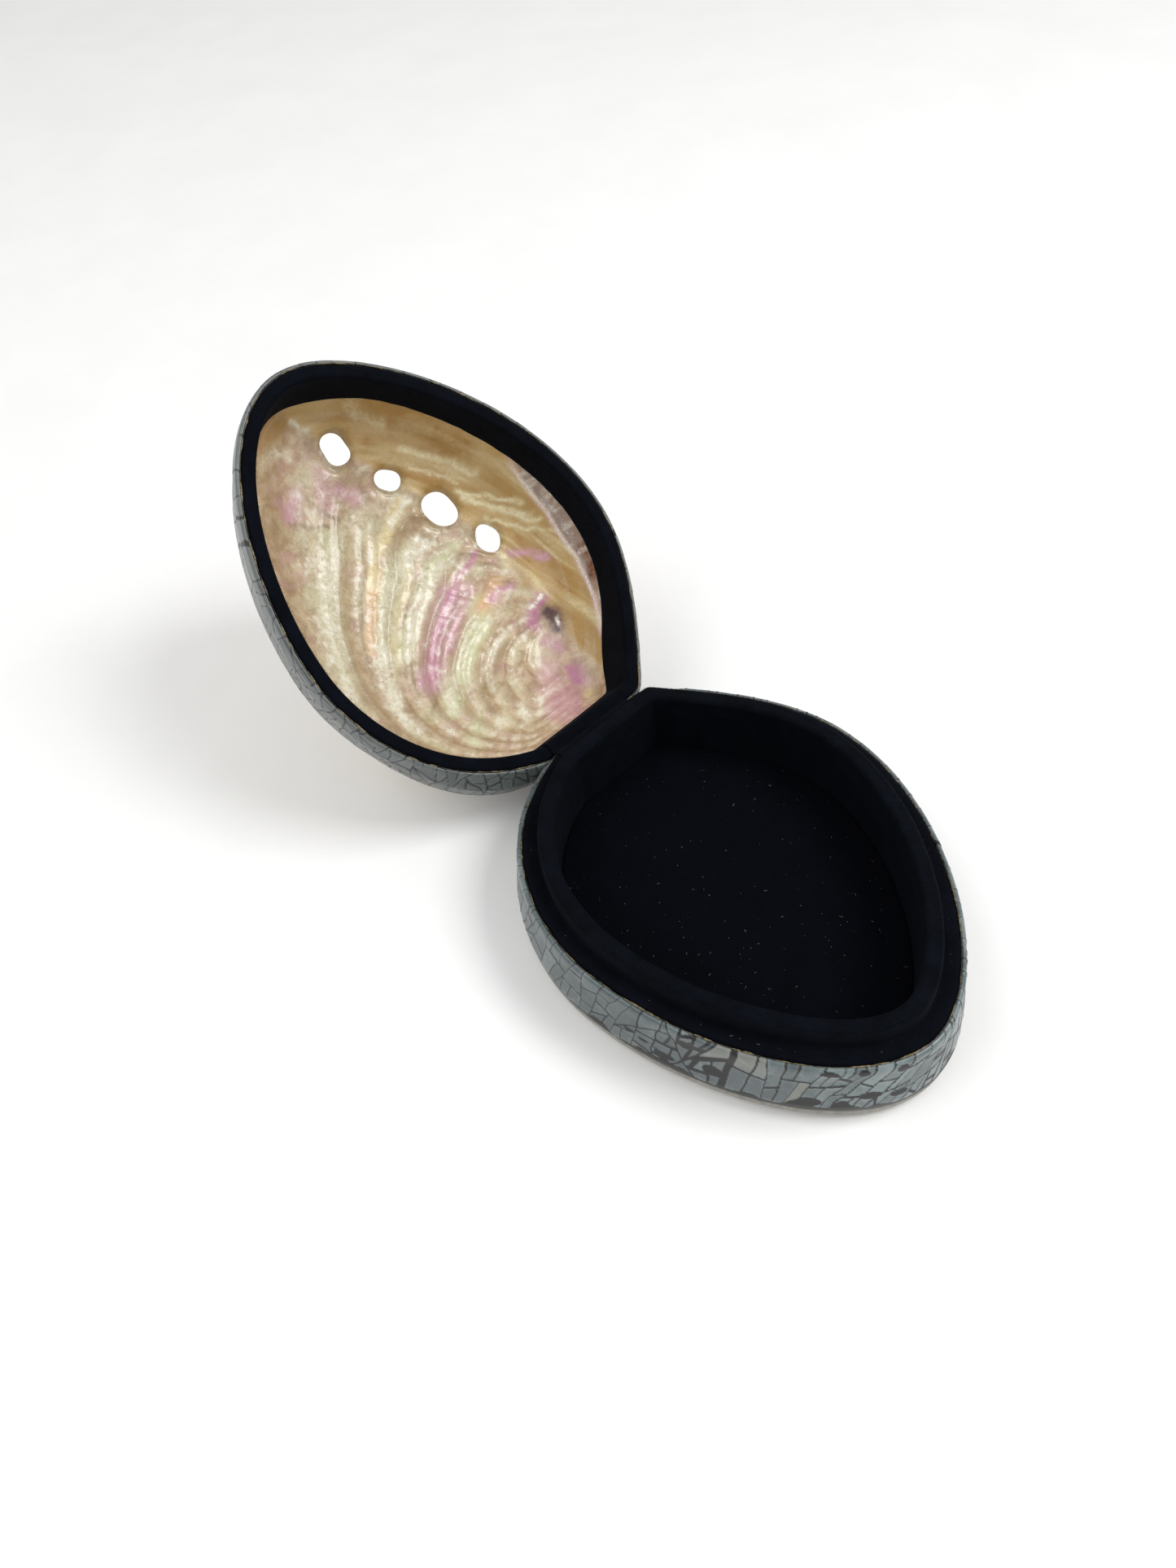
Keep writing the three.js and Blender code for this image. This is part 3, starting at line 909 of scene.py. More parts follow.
@dataclass
class MosaicBand:
    """A band of shell mosaic: a thick ring whose outer face is laid with raised pieces of shell."""

    name: str
    node: str
    body: str
    slot: str
    crackle: Crackle
    beige: tuple[tuple[float, float, float], ...] = ()
    ray_count: int = 1260
    spacing: float = 0.27
    hidden_spacing: float = 1.6
    groove: float = 0.14
    edge_round: float = 0.22
    level: float = 0.05
    # How far the dark filler colour reaches up from the band's foot, all round and as a swell on one side.
    foot_dark: float = 0.9
    foot_dark_swell: float = 3.0
    foot_dark_angle: float = 222.0
    foot_dark_spread: float = 48.0
    # The pieces are painted lighter round the first angle and darker round the second: painted light and
    # shade on the band's sides.
    painted_light_angle: float = 250.0
    painted_shade_angle: float = 185.0

    def dress(
        self, angles: Array, face: Corners, hidden: Corners, open_lid: bool, material: Material
    ) -> None:
        """Build the band and lay its pieces.

        The outer face is resampled finely. Each of its points moves inwards by the groove's depth
        where it lies on a crack, and by a small level of its own piece elsewhere.

        Args:
            angles: Directions of the rays.
            face: Section corners of the outer face, from its top or rim edge to its foot.
            hidden: Section corners of the rest, from the foot back to the rim edge.
            open_lid: Whether the band is turned open with the lid.
            material: The mosaic's material.
        """
        outer, depth = rounded(stack_section(angles, face), self.spacing, 0.3, Closing.DISC)
        inner, _ = rounded(stack_section(angles, hidden), self.hidden_spacing, 0.0, Closing.DISC)
        section = np.concatenate([outer, inner[:, 1:-1]], axis=1)
        middle = outer[:, outer.shape[1] // 2]
        edge_points = np.stack([middle[:, 0] * np.cos(angles), middle[:, 0] * np.sin(angles)], axis=1)
        steps = np.linalg.norm(np.diff(edge_points, axis=0, append=edge_points[:1]), axis=1)
        along = np.concatenate([[0.0], np.cumsum(steps)[:-1]])
        grid_along = np.repeat(along[:, None], depth.size, axis=1)
        grid_depth = np.repeat(depth[None, :], along.size, axis=0)
        grid_angle = np.repeat(np.degrees(angles)[:, None], depth.size, axis=1)
        cell = steps.mean() * self.spacing
        piece, edge = self.crackle.lay(grid_angle.ravel(), grid_along.ravel(), grid_depth.ravel(), cell)
        piece = piece.reshape(grid_depth.shape)
        edge = edge.reshape(grid_depth.shape)
        uneven = layered_noise(grid_along / 5.0, grid_depth * 0, 71)
        # Towards its foot the band takes the filler's dark colour in a ragged strip, widest round 222
        # degrees.
        foot = self.foot_dark * (0.1 + 1.3 * uneven**1.5)
        swell = self.foot_dark_swell * ring_hump(grid_angle, self.foot_dark_angle, self.foot_dark_spread)
        foot = foot + swell * (0.35 + 2.6 * uneven**2.5)
        edge = np.minimum(edge, depth.max() - grid_depth - foot)
        draw = np.random.default_rng(self.crackle.seed + 5)
        many = piece.max() + 1
        levels = draw.uniform(-1.0, 1.0, many)
        tones = draw.normal(0.36, 0.08, many)
        warms = np.where(draw.random(many) < 0.03, draw.uniform(0.2, 0.4, many), 0.0)
        for degrees, down, warmth in self.beige:
            chosen = piece[int(degrees / 360 * angles.size), int(down / self.spacing)]
            warms[chosen] = warmth
            tones[chosen] = 0.55
        raised = smoothstep(0.0, self.edge_round, edge)
        move = -self.groove * (1 - raised) + self.level * (levels[piece] - 1.0) * raised
        normals = section_normals(section)
        section[:, : depth.size] += normals[:, : depth.size] * move[:, :, None]
        points, faces = sweep(angles, section, Closing.RING)
        if open_lid:
            points = HINGE.opened(points)
        ring = add_mesh(self.name, points, faces)
        total = section.shape[:2]
        filler = np.ones(total)
        filler[:, : depth.size] = 1 - smoothstep(-0.04, 0.1, edge)
        tone = np.full(total, 0.3)
        # Painted light and shade: lighter round 250 degrees, darker round 185 degrees.
        painted_light = 0.14 * ring_hump(grid_angle, self.painted_light_angle, 22.0)
        painted_shade = 0.1 * ring_hump(grid_angle, self.painted_shade_angle, 35.0)
        # Pieces are lighter within about a millimetre of their edges: painted highlights along their rounded
        # edges.
        tone[:, : depth.size] = tones[piece] + painted_light - painted_shade + 0.12 * (1 - smoothstep(0.0, 1.2, edge))
        warm = np.zeros(total)
        warm[:, : depth.size] = warms[piece]
        set_field(ring, "filler", filler)
        set_field(ring, "tone", tone)
        set_field(ring, "warm", warm)
        finish_piece(ring, material, self.body)
        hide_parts(self.node)


@dataclass
class Tray:
    """The tray: bottom board, mosaic band, velvet liner with its collar, and floor pad."""

    height: float = 21.0
    board_edge: float = 4.9
    board_thickness: float = 6.6
    board_proud: float = 2.5
    ledge: float = 4.1
    collar_wall: float = 4.0
    collar_rise: float = 5.0
    pad_thickness: float = 1.2
    velvet: float = 1.2
    velvet_round: float = 0.6
    seat_gap: float = 0.3
    touch: float = 0.05
    band_bulge: float = 2.75
    band_rim: float = 1.45
    lip_top: float = 20.66

    def band(self, finishes: Finishes) -> None:
        """Build the mosaic band. Its lip stands up round the velvet and sinks away at the hinge."""
        seams = ((112.0, 0.25, 0.3), (203.0, 0.35, -0.9), (206.5, 0.5, 0.8))
        seams += ((216.5, 1.25, 0.18), (318.0, 1.0, 0.2))
        sizes = ((0.0, 7.0), (110.0, 6.0), (135.0, 4.6), (150.0, 5.8), (190.0, 6.2), (199.0, 4.6))
        sizes += ((213.0, 5.0), (218.0, 8.0), (230.0, 6.8), (236.0, 4.4))
        sizes += ((262.0, 4.6), (290.0, 7.0), (360.0, 7.0))
        cracks = ((0.0, 0.2), (140.0, 0.15), (180.0, 0.19), (198.0, 0.28), (204.0, 0.55), (216.0, 0.6))
        cracks += ((218.0, 0.34), (240.0, 0.3), (265.0, 0.25), (300.0, 0.2), (360.0, 0.2))
        shears = ((0.0, 0.0), (150.0, 0.25), (198.0, 0.35), (217.0, 0.1), (232.0, 0.6), (240.0, 1.1))
        shears += ((262.0, 1.0), (290.0, 0.0), (360.0, 0.0))
        ovals = (
            Oval(239.0, 2.6, 3.8, 1.5),
            Oval(246.0, 2.4, 2.4, 1.8),
            Oval(254.0, 3.2, 2.6, 2.4),
            Oval(247.5, 11.0, 5.0, 2.4),
            Oval(253.5, 12.2, 3.8, 2.2),
            Oval(188.0, 10.0, 2.8, 1.2),
            Oval(192.5, 10.8, 2.8, 1.0),
            Oval(204.8, 5.0, 3.4, 2.8),
            Oval(199.0, 12.4, 5.0, 2.2),
            Oval(212.5, 10.5, 4.6, 3.6),
            Oval(235.0, 13.2, 5.2, 3.0),
        )
        crackle = Crackle(41, seams, sizes, cracks, ovals, shears)
        beige = ((210.5, 6.0, 0.45), (220.0, 3.0, 0.5), (225.0, 3.0, 0.4), (233.0, 9.0, 0.6))
        band = MosaicBand("tray_mosaic_band", "base_band", "tray", "tray_mosaic", crackle, beige)
        angles = rays(band.ray_count)
        flat_top = self.height - self.velvet - self.seat_gap
        near_hinge = smoothstep(46.0, 51.0, RIM.reach(angles) * np.sin(angles))
        bottom = self.board_edge + self.seat_gap

        def corner(proud: float, height: float) -> tuple[Array, Array]:
            """A corner proud of the rim outline, sunk and cut back beside the hinge."""
            level = height - max(height - flat_top, 0.0) * near_hinge
            return HINGE.held_back(RIM.reach(angles, -proud), angles, HINGE.axis_z - level), level

        mid_proud = (self.band_rim + 2 * self.band_bulge) / 3
        face = [
            corner(0.2, flat_top + 0.1),
            corner(0.2, self.lip_top),
            corner(0.7, self.lip_top),
            corner(1.2, self.lip_top - 0.45),
            corner(1.38, 19.0),
            corner(self.band_rim, 16.3),
            corner(mid_proud, self.height / 2),
            corner(self.band_bulge, bottom + 2.0),
            corner(self.board_proud, bottom),
        ]
        hidden = [
            corner(self.board_proud, bottom),
            (RIM.reach(angles, self.ledge / 2), bottom),
            (RIM.reach(angles, self.ledge - self.seat_gap), self.board_thickness + self.seat_gap),
            (RIM.reach(angles, self.ledge - self.seat_gap), flat_top),
            (RIM.reach(angles, self.seat_gap), flat_top),
            corner(0.2, flat_top + 0.1),
        ]
        band.dress(angles, face, hidden, False, finishes.tray_mosaic)

    def board(self, finishes: Finishes) -> None:
        """Build the bottom board: a flat underside and a rounded edge under the mosaic."""
        angles = rays(360)
        corners = [
            (0.5, 0.0),
            (RIM.reach(angles, 1.0), 0.0),
            (RIM.reach(angles, -1.5), 0.98),
            (RIM.reach(angles, -2.3), 2.7),
            (RIM.reach(angles, -self.board_proud), self.board_edge),
            (RIM.reach(angles, self.ledge), self.board_edge),
            (RIM.reach(angles, self.ledge), self.board_thickness),
            (0.5, self.board_thickness),
        ]
        section, _ = rounded(stack_section(angles, corners), 0.9, 0.45, Closing.DISC)
        points, faces = sweep(angles, section, Closing.DISC)
        board = add_mesh("bottom_board", points, faces)
        finish_piece(board, finishes.board, "tray")
        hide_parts("base_bottom")

    def liner(self, finishes: Finishes) -> None:
        """Build the velvet-covered ledge and collar, a little uneven as hand-glued cloth is."""
        angles = rays(400)
        low = self.board_thickness + self.seat_gap
        top = self.height + self.collar_rise
        turn = self.velvet_round
        inner = self.ledge + self.collar_wall
        wave = 0.3 * (layered_noise(angles * 5.0, angles * 0, 23) - 0.5)
        sag = 0.5 * (layered_noise(angles * 4.0, angles * 0, 29) - 0.62)
        corners = [
            (RIM.reach(angles, self.ledge), low),
            (RIM.reach(angles, self.ledge), self.height - self.velvet),
            (RIM.reach(angles, 0.05), self.height - self.velvet),
            (RIM.reach(angles, 0.05), self.height - turn),
            (RIM.reach(angles, turn), self.height),
            (RIM.reach(angles, self.ledge), self.height),
            (RIM.reach(angles, self.ledge) + wave, top - turn + sag),
            (RIM.reach(angles, self.ledge + turn) + wave, top + sag),
            (RIM.reach(angles, inner - turn) + wave, top + sag),
            (RIM.reach(angles, inner) + wave, top - turn + sag),
            (RIM.reach(angles, inner), low),
        ]
        section, _ = rounded(stack_section(angles, corners), 0.4, 0.42, Closing.RING)
        points, faces = sweep(angles, section, Closing.RING)
        liner = add_mesh("tray_velvet_liner", points, faces)
        finish_piece(liner, finishes.velvet, "tray")
        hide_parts("base_liner")

    def pad(self, finishes: Finishes) -> None:
        """Build the floor pad: a thin pad, crowned towards its middle, with soft edges."""
        angles = rays(300)
        low = self.board_thickness + self.seat_gap
        top = low + self.pad_thickness
        edge = self.ledge + self.collar_wall + self.touch
        shares = np.linspace(0.02, 1.0, 26)
        reach = RIM.reach(angles, edge)
        corners = [(0.5, low), (RIM.reach(angles, edge), low)]
        for share in shares[::-1]:
            radius = share * reach
            uneven = layered_noise(radius * np.cos(angles) / 9, radius * np.sin(angles) / 9, 37)
            corners.append((radius, top - 0.25 * share**6 + 0.12 * (uneven - 0.9)))
        section, _ = rounded(stack_section(angles, corners), 0.8, 0.3, Closing.DISC)
        points, faces = sweep(angles, section, Closing.DISC)
        pad = add_mesh("tray_floor_pad", points, faces)
        # The pad takes the darker velvet, as painted shade.
        finish_piece(pad, finishes.shaded_pad_velvet, "tray")
        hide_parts("base_floor_pad")

    def build(self, finishes: Finishes) -> None:
        """Build every piece of the tray."""
        self.board(finishes)
        self.band(finishes)
        self.liner(finishes)
        self.pad(finishes)


@dataclass(frozen=True)
class BreathingHole:
    """One of the shell's breathing holes.

    Its edge on the inner face is radius + a cos 2t + b sin 2t + c cos 4t round its middle, and the
    hole leans by slant, in millimetres of x and y for each millimetre of height.
    """

    x: float
    y: float
    radius: float
    oval: tuple[float, float]
    square: float
    slant: tuple[float, float]

    def reach(self, angle: Array) -> Array:
        """Distance from the hole's middle to its edge."""
        oval = self.oval[0] * np.cos(2 * angle) + self.oval[1] * np.sin(2 * angle)
        return self.radius + oval + self.square * np.cos(4 * angle)

    def outside(self, x: Array, y: Array) -> Array:
        """Distance outside the hole's edge, in millimetres, and negative inside it."""
        return np.hypot(x - self.x, y - self.y) - self.reach(np.arctan2(y - self.y, x - self.x))


class Tint(Enum):
    """The nacre's tints, each named after the mesh field that says where it lies."""

    # Some tints paint light: gleam is painted highlight, olive is painted shade, and light and yellow are
    # partly painted highlight.
    GREEN = "green"
    PEACH = "peach"
    PINK = "pink"
    MAGENTA = "magenta"
    # Light marks cream bands and painted highlights.
    LIGHT = "light"
    # Yellow is the shell's own yellow, and one painted highlight by the hinge corner.
    YELLOW_AND_HIGHLIGHT = "yellow_and_highlight"
    # Olive marks painted shade.
    OLIVE_SHADE = "olive_shade"
    GOLDEN = "golden"
    AMBER = "amber"
    STREAK = "streak"
    STRIP = "strip"
    # Gleam marks painted highlights.
    PAINTED_GLEAM = "gleam"
    PIT = "pit"
    RUST = "rust"


@dataclass(frozen=True)
class Stroke:
    """A soft stroke of one tint: a bell of the distance to a path of straight runs."""

    tint: Tint
    width: float
    strength: float
    path: tuple[tuple[float, float], ...]

    def shade(self, x: Array, y: Array) -> Array:
        """The stroke's strength at each point: exp of minus the squared distance in widths."""
        nearest = np.full(x.shape, np.inf)
        runs = list(zip(self.path[:-1], self.path[1:])) or [(self.path[0], self.path[0])]
        for (ax, ay), (bx, by) in runs:
            length = max((bx - ax) ** 2 + (by - ay) ** 2, 1e-9)
            share = np.clip(((x - ax) * (bx - ax) + (y - ay) * (by - ay)) / length, 0.0, 1.0)
            away = np.hypot(x - ax - share * (bx - ax), y - ay - share * (by - ay))
            nearest = np.minimum(nearest, away)
        return self.strength * hump(nearest, 0.0, self.width)


# Strokes of the light tint lay the shell's cream bands and painted highlights.
STROKES = (
    Stroke(Tint.LIGHT, 2.1, 1.15, ((-24.0, 23.0), (-21.5, 18.0), (-18.0, 12.5), (-16.5, 8.0))),
    Stroke(Tint.LIGHT, 2.4, 0.95, ((-13.0, 5.5), (-6.5, -0.5), (-1.0, -5.0), (3.0, -8.0), (9.5, -8.5))),
    Stroke(Tint.GREEN, 3.4, 1.1, ((-17.0, 11.0), (-14.0, 6.0), (-8.0, 0.0), (-2.0, -5.0), (4.0, -8.5))),
    Stroke(Tint.YELLOW_AND_HIGHLIGHT, 1.4, 0.6, ((-20.0, 17.0), (-12.0, 7.0), (-4.0, 0.5), (3.0, -4.5))),
    Stroke(Tint.LIGHT, 1.4, 1.05, ((-12.5, 14.0), (-5.0, 9.0), (2.0, 4.0), (8.0, 0.5), (15.0, -1.5))),
    Stroke(Tint.GREEN, 2.2, 1.0, ((-13.0, 13.0), (-5.0, 7.5), (2.0, 2.0), (9.0, -1.5), (17.0, -3.0))),
    Stroke(
        Tint.PINK, 3.0, 1.2, ((-12.0, 23.0), (-8.0, 20.0), (-4.0, 16.5), (0.0, 13.0), (5.0, 9.5), (10.0, 6.5))
    ),
    Stroke(Tint.PINK, 2.3, 0.85, ((13.0, 8.0), (6.0, 12.6), (-1.0, 17.5))),
    Stroke(Tint.MAGENTA, 2.6, 0.14, ((-8.0, 18.5), (-4.0, 15.0), (1.0, 11.5))),
    # A painted highlight in yellow at the shell's corner by the hinge.
    Stroke(Tint.YELLOW_AND_HIGHLIGHT, 1.2, 1.2, ((18.5, 50.0), (20.5, 49.0))),
    Stroke(Tint.PINK, 1.0, 1.0, ((9.0, 5.5), (14.0, 3.8), (21.0, 1.4))),
    Stroke(Tint.LIGHT, 0.7, 0.9, ((-6.0, 15.0), (0.0, 10.0), (6.0, 6.0), (13.0, 2.6), (21.0, 0.2))),
    Stroke(Tint.GREEN, 2.5, 1.15, ((-12.0, 32.5), (-6.0, 27.5), (1.0, 23.5), (6.0, 20.0), (12.0, 17.0))),
    Stroke(Tint.LIGHT, 1.3, 0.8, ((-12.5, 31.5), (-8.0, 27.5), (-1.0, 23.5), (5.0, 19.0), (10.0, 15.5))),
    Stroke(Tint.LIGHT, 0.8, 0.6, ((2.0, 29.0), (8.0, 26.0), (14.0, 23.0))),
    Stroke(Tint.GREEN, 1.6, 0.5, ((10.0, 12.0), (16.0, 13.0), (17.0, 19.0))),
    Stroke(Tint.PEACH, 1.6, 1.0, ((-20.0, 8.0), (-16.5, 3.5), (-13.0, 0.0), (-9.0, -5.0), (-5.0, -10.0))),
    Stroke(Tint.YELLOW_AND_HIGHLIGHT, 1.7, 1.0, ((-8.0, -7.0), (-3.5, -11.5), (2.5, -15.0), (7.0, -18.0), (12.0, -20.5))),
    Stroke(Tint.LIGHT, 1.0, 0.9, ((5.5, -17.0), (9.0, -18.5), (13.5, -20.5))),
    Stroke(Tint.LIGHT, 2.0, 1.0, ((-33.5, 14.0), (-31.5, 9.5))),
    Stroke(Tint.LIGHT, 2.4, 0.9, ((-30.0, 6.0), (-27.0, 0.0), (-23.0, -7.0), (-19.0, -12.5), (-13.5, -18.0))),
    Stroke(Tint.GREEN, 3.2, 0.7, ((-31.0, 8.0), (-27.0, 0.0), (-22.0, -8.0), (-16.0, -16.0), (-9.0, -22.0))),
    Stroke(Tint.LIGHT, 1.4, 0.6, ((-13.0, -18.0), (-8.0, -21.0), (-2.0, -24.5))),
    Stroke(Tint.LIGHT, 1.8, 0.6, ((-25.5, 31.0), (-25.5, 26.0), (-24.0, 22.0))),
    Stroke(Tint.YELLOW_AND_HIGHLIGHT, 1.9, 0.7, ((-5.5, 43.5), (-2.0, 42.0))),
    Stroke(Tint.LIGHT, 1.5, 1.0, ((-6.0, 43.0), (-3.0, 42.0))),
    Stroke(Tint.LIGHT, 1.1, 0.9, ((1.0, 46.0), (3.5, 42.0))),
    Stroke(Tint.LIGHT, 0.8, 0.7, ((6.0, 46.5), (8.5, 44.5))),
    Stroke(Tint.GREEN, 2.2, 0.6, ((-14.0, 41.0), (-9.0, 38.0))),
    Stroke(Tint.PINK, 2.2, 0.9, ((-17.5, -31.5), (-12.0, -35.0))),
    Stroke(Tint.LIGHT, 1.3, 0.8, ((-16.0, -31.5), (-11.5, -35.5))),
    Stroke(Tint.PINK, 2.2, 0.9, ((-1.0, -31.5), (1.5, -28.5))),
    Stroke(Tint.LIGHT, 1.1, 0.7, ((-1.5, -31.0), (2.0, -29.0))),
    Stroke(Tint.PINK, 2.6, 0.45, ((-7.0, -29.0), (-3.0, -37.0))),
    Stroke(Tint.LIGHT, 1.6, 0.5, ((-18.0, -44.5), (-12.0, -46.0), (-9.0, -44.0))),
    Stroke(Tint.LIGHT, 0.7, 0.9, ((-4.5, -50.0), (-1.5, -47.5))),
    Stroke(Tint.LIGHT, 0.8, 0.8, ((5.0, -32.5), (8.0, -32.0))),
    # The olive strokes are painted shade along the dark lines between bands.
    Stroke(Tint.OLIVE_SHADE, 0.5, 0.9, ((-18.5, -30.0), (-14.0, -27.0), (-9.5, -25.0))),
    Stroke(Tint.OLIVE_SHADE, 0.5, 0.7, ((-10.0, -33.0), (-8.0, -28.0), (-6.0, -25.0))),
    Stroke(Tint.OLIVE_SHADE, 0.6, 0.7, ((-17.0, 24.0), (-14.0, 17.5), (-8.0, 9.5), (0.0, 3.0), (6.0, -1.5))),
    Stroke(Tint.OLIVE_SHADE, 0.7, 0.6, ((-6.0, 20.0), (0.0, 15.0), (6.0, 12.0), (12.0, 8.0))),
    Stroke(Tint.OLIVE_SHADE, 1.1, 0.5, ((-1.0, 33.0), (6.0, 29.5), (12.0, 26.0))),
    Stroke(Tint.OLIVE_SHADE, 0.6, 0.6, ((-26.0, 16.0), (-22.0, 8.0), (-17.0, 0.0), (-11.0, -7.0), (-4.0, -13.0))),
    Stroke(Tint.OLIVE_SHADE, 0.7, 0.5, ((-18.0, 30.0), (-13.0, 27.0), (-7.0, 22.0))),
    Stroke(Tint.YELLOW_AND_HIGHLIGHT, 1.3, 1.0, ((25.5, 8.5), (26.0, 6.0))),
    Stroke(Tint.LIGHT, 0.8, 0.7, ((25.2, 8.0), (25.8, 5.0))),
    Stroke(Tint.LIGHT, 0.8, 0.8, ((16.5, 30.5), (18.0, 28.0))),
    Stroke(Tint.PEACH, 2.4, 0.7, ((14.0, 15.0), (20.0, 11.5))),
    Stroke(Tint.PINK, 1.1, 0.8, ((17.0, 14.5), (20.5, 13.5), (24.0, 14.5))),
    Stroke(Tint.MAGENTA, 1.8, 1.1, ((22.0, 26.5), (24.0, 23.5), (27.5, 21.5))),
    Stroke(Tint.MAGENTA, 1.6, 0.8, ((23.0, 35.5), (22.0, 32.0))),
    Stroke(Tint.MAGENTA, 2.0, 1.1, ((22.0, 43.0), (20.5, 45.0))),
    Stroke(Tint.MAGENTA, 3.0, 0.55, ((12.0, 50.0), (16.0, 48.0), (20.0, 46.0))),
    Stroke(Tint.PINK, 3.2, 0.5, ((8.0, 50.0), (18.0, 38.0))),
    # These gleam strokes are painted highlights beside the spire.
    Stroke(Tint.PAINTED_GLEAM, 0.5, 0.9, ((24.0, 22.2), (27.8, 20.8))),
    Stroke(Tint.PAINTED_GLEAM, 0.4, 0.9, ((27.2, 30.0), (27.8, 28.5))),
    Stroke(Tint.PIT, 1.9, 1.1, ((26.2, 31.0), (27.2, 28.5), (27.0, 26.5))),
    Stroke(Tint.RUST, 1.1, 1.1, ((39.0, 25.5), (40.4, 21.0), (40.8, 17.5))),
    Stroke(Tint.STREAK, 0.8, 1.0, ((38.0, 4.0), (34.0, -1.0), (29.0, -8.5), (25.0, -14.0))),
    Stroke(Tint.STREAK, 0.6, 0.9, ((36.5, -2.0), (32.0, -7.5), (27.0, -13.0))),
    Stroke(Tint.STREAK, 0.5, 0.9, ((35.5, 4.5), (31.5, 0.5), (28.5, -5.0))),
    Stroke(Tint.STREAK, 0.5, 0.7, ((38.5, 10.0), (36.0, 5.0), (33.0, 1.5))),
    Stroke(Tint.STREAK, 0.9, 0.8, ((30.5, -16.0), (24.0, -24.0), (17.0, -31.0))),
    Stroke(Tint.STREAK, 0.5, 0.7, ((26.0, -16.0), (22.0, -21.5), (17.5, -26.0))),
    Stroke(Tint.STREAK, 1.2, 0.5, ((16.0, -38.0), (9.0, -46.0))),
    Stroke(Tint.PINK, 1.0, 0.8, ((34.5, 14.0), (31.0, 8.5), (28.5, 6.5))),
    Stroke(Tint.AMBER, 2.4, 0.9, ((-20.0, -46.0), (-14.0, -50.0), (-7.0, -51.0))),
    Stroke(Tint.AMBER, 2.6, 1.0, ((10.0, -46.0), (21.0, -35.0), (30.0, -22.0))),
    Stroke(Tint.AMBER, 2.2, 0.7, ((10.0, -36.0), (16.0, -26.0), (22.0, -20.0))),
    Stroke(Tint.AMBER, 1.5, 0.55, ((33.0, 24.0), (35.5, 16.0), (36.0, 8.0))),
    Stroke(Tint.AMBER, 1.6, 0.5, ((27.0, 16.0), (30.0, 12.0), (31.0, 6.0))),
)


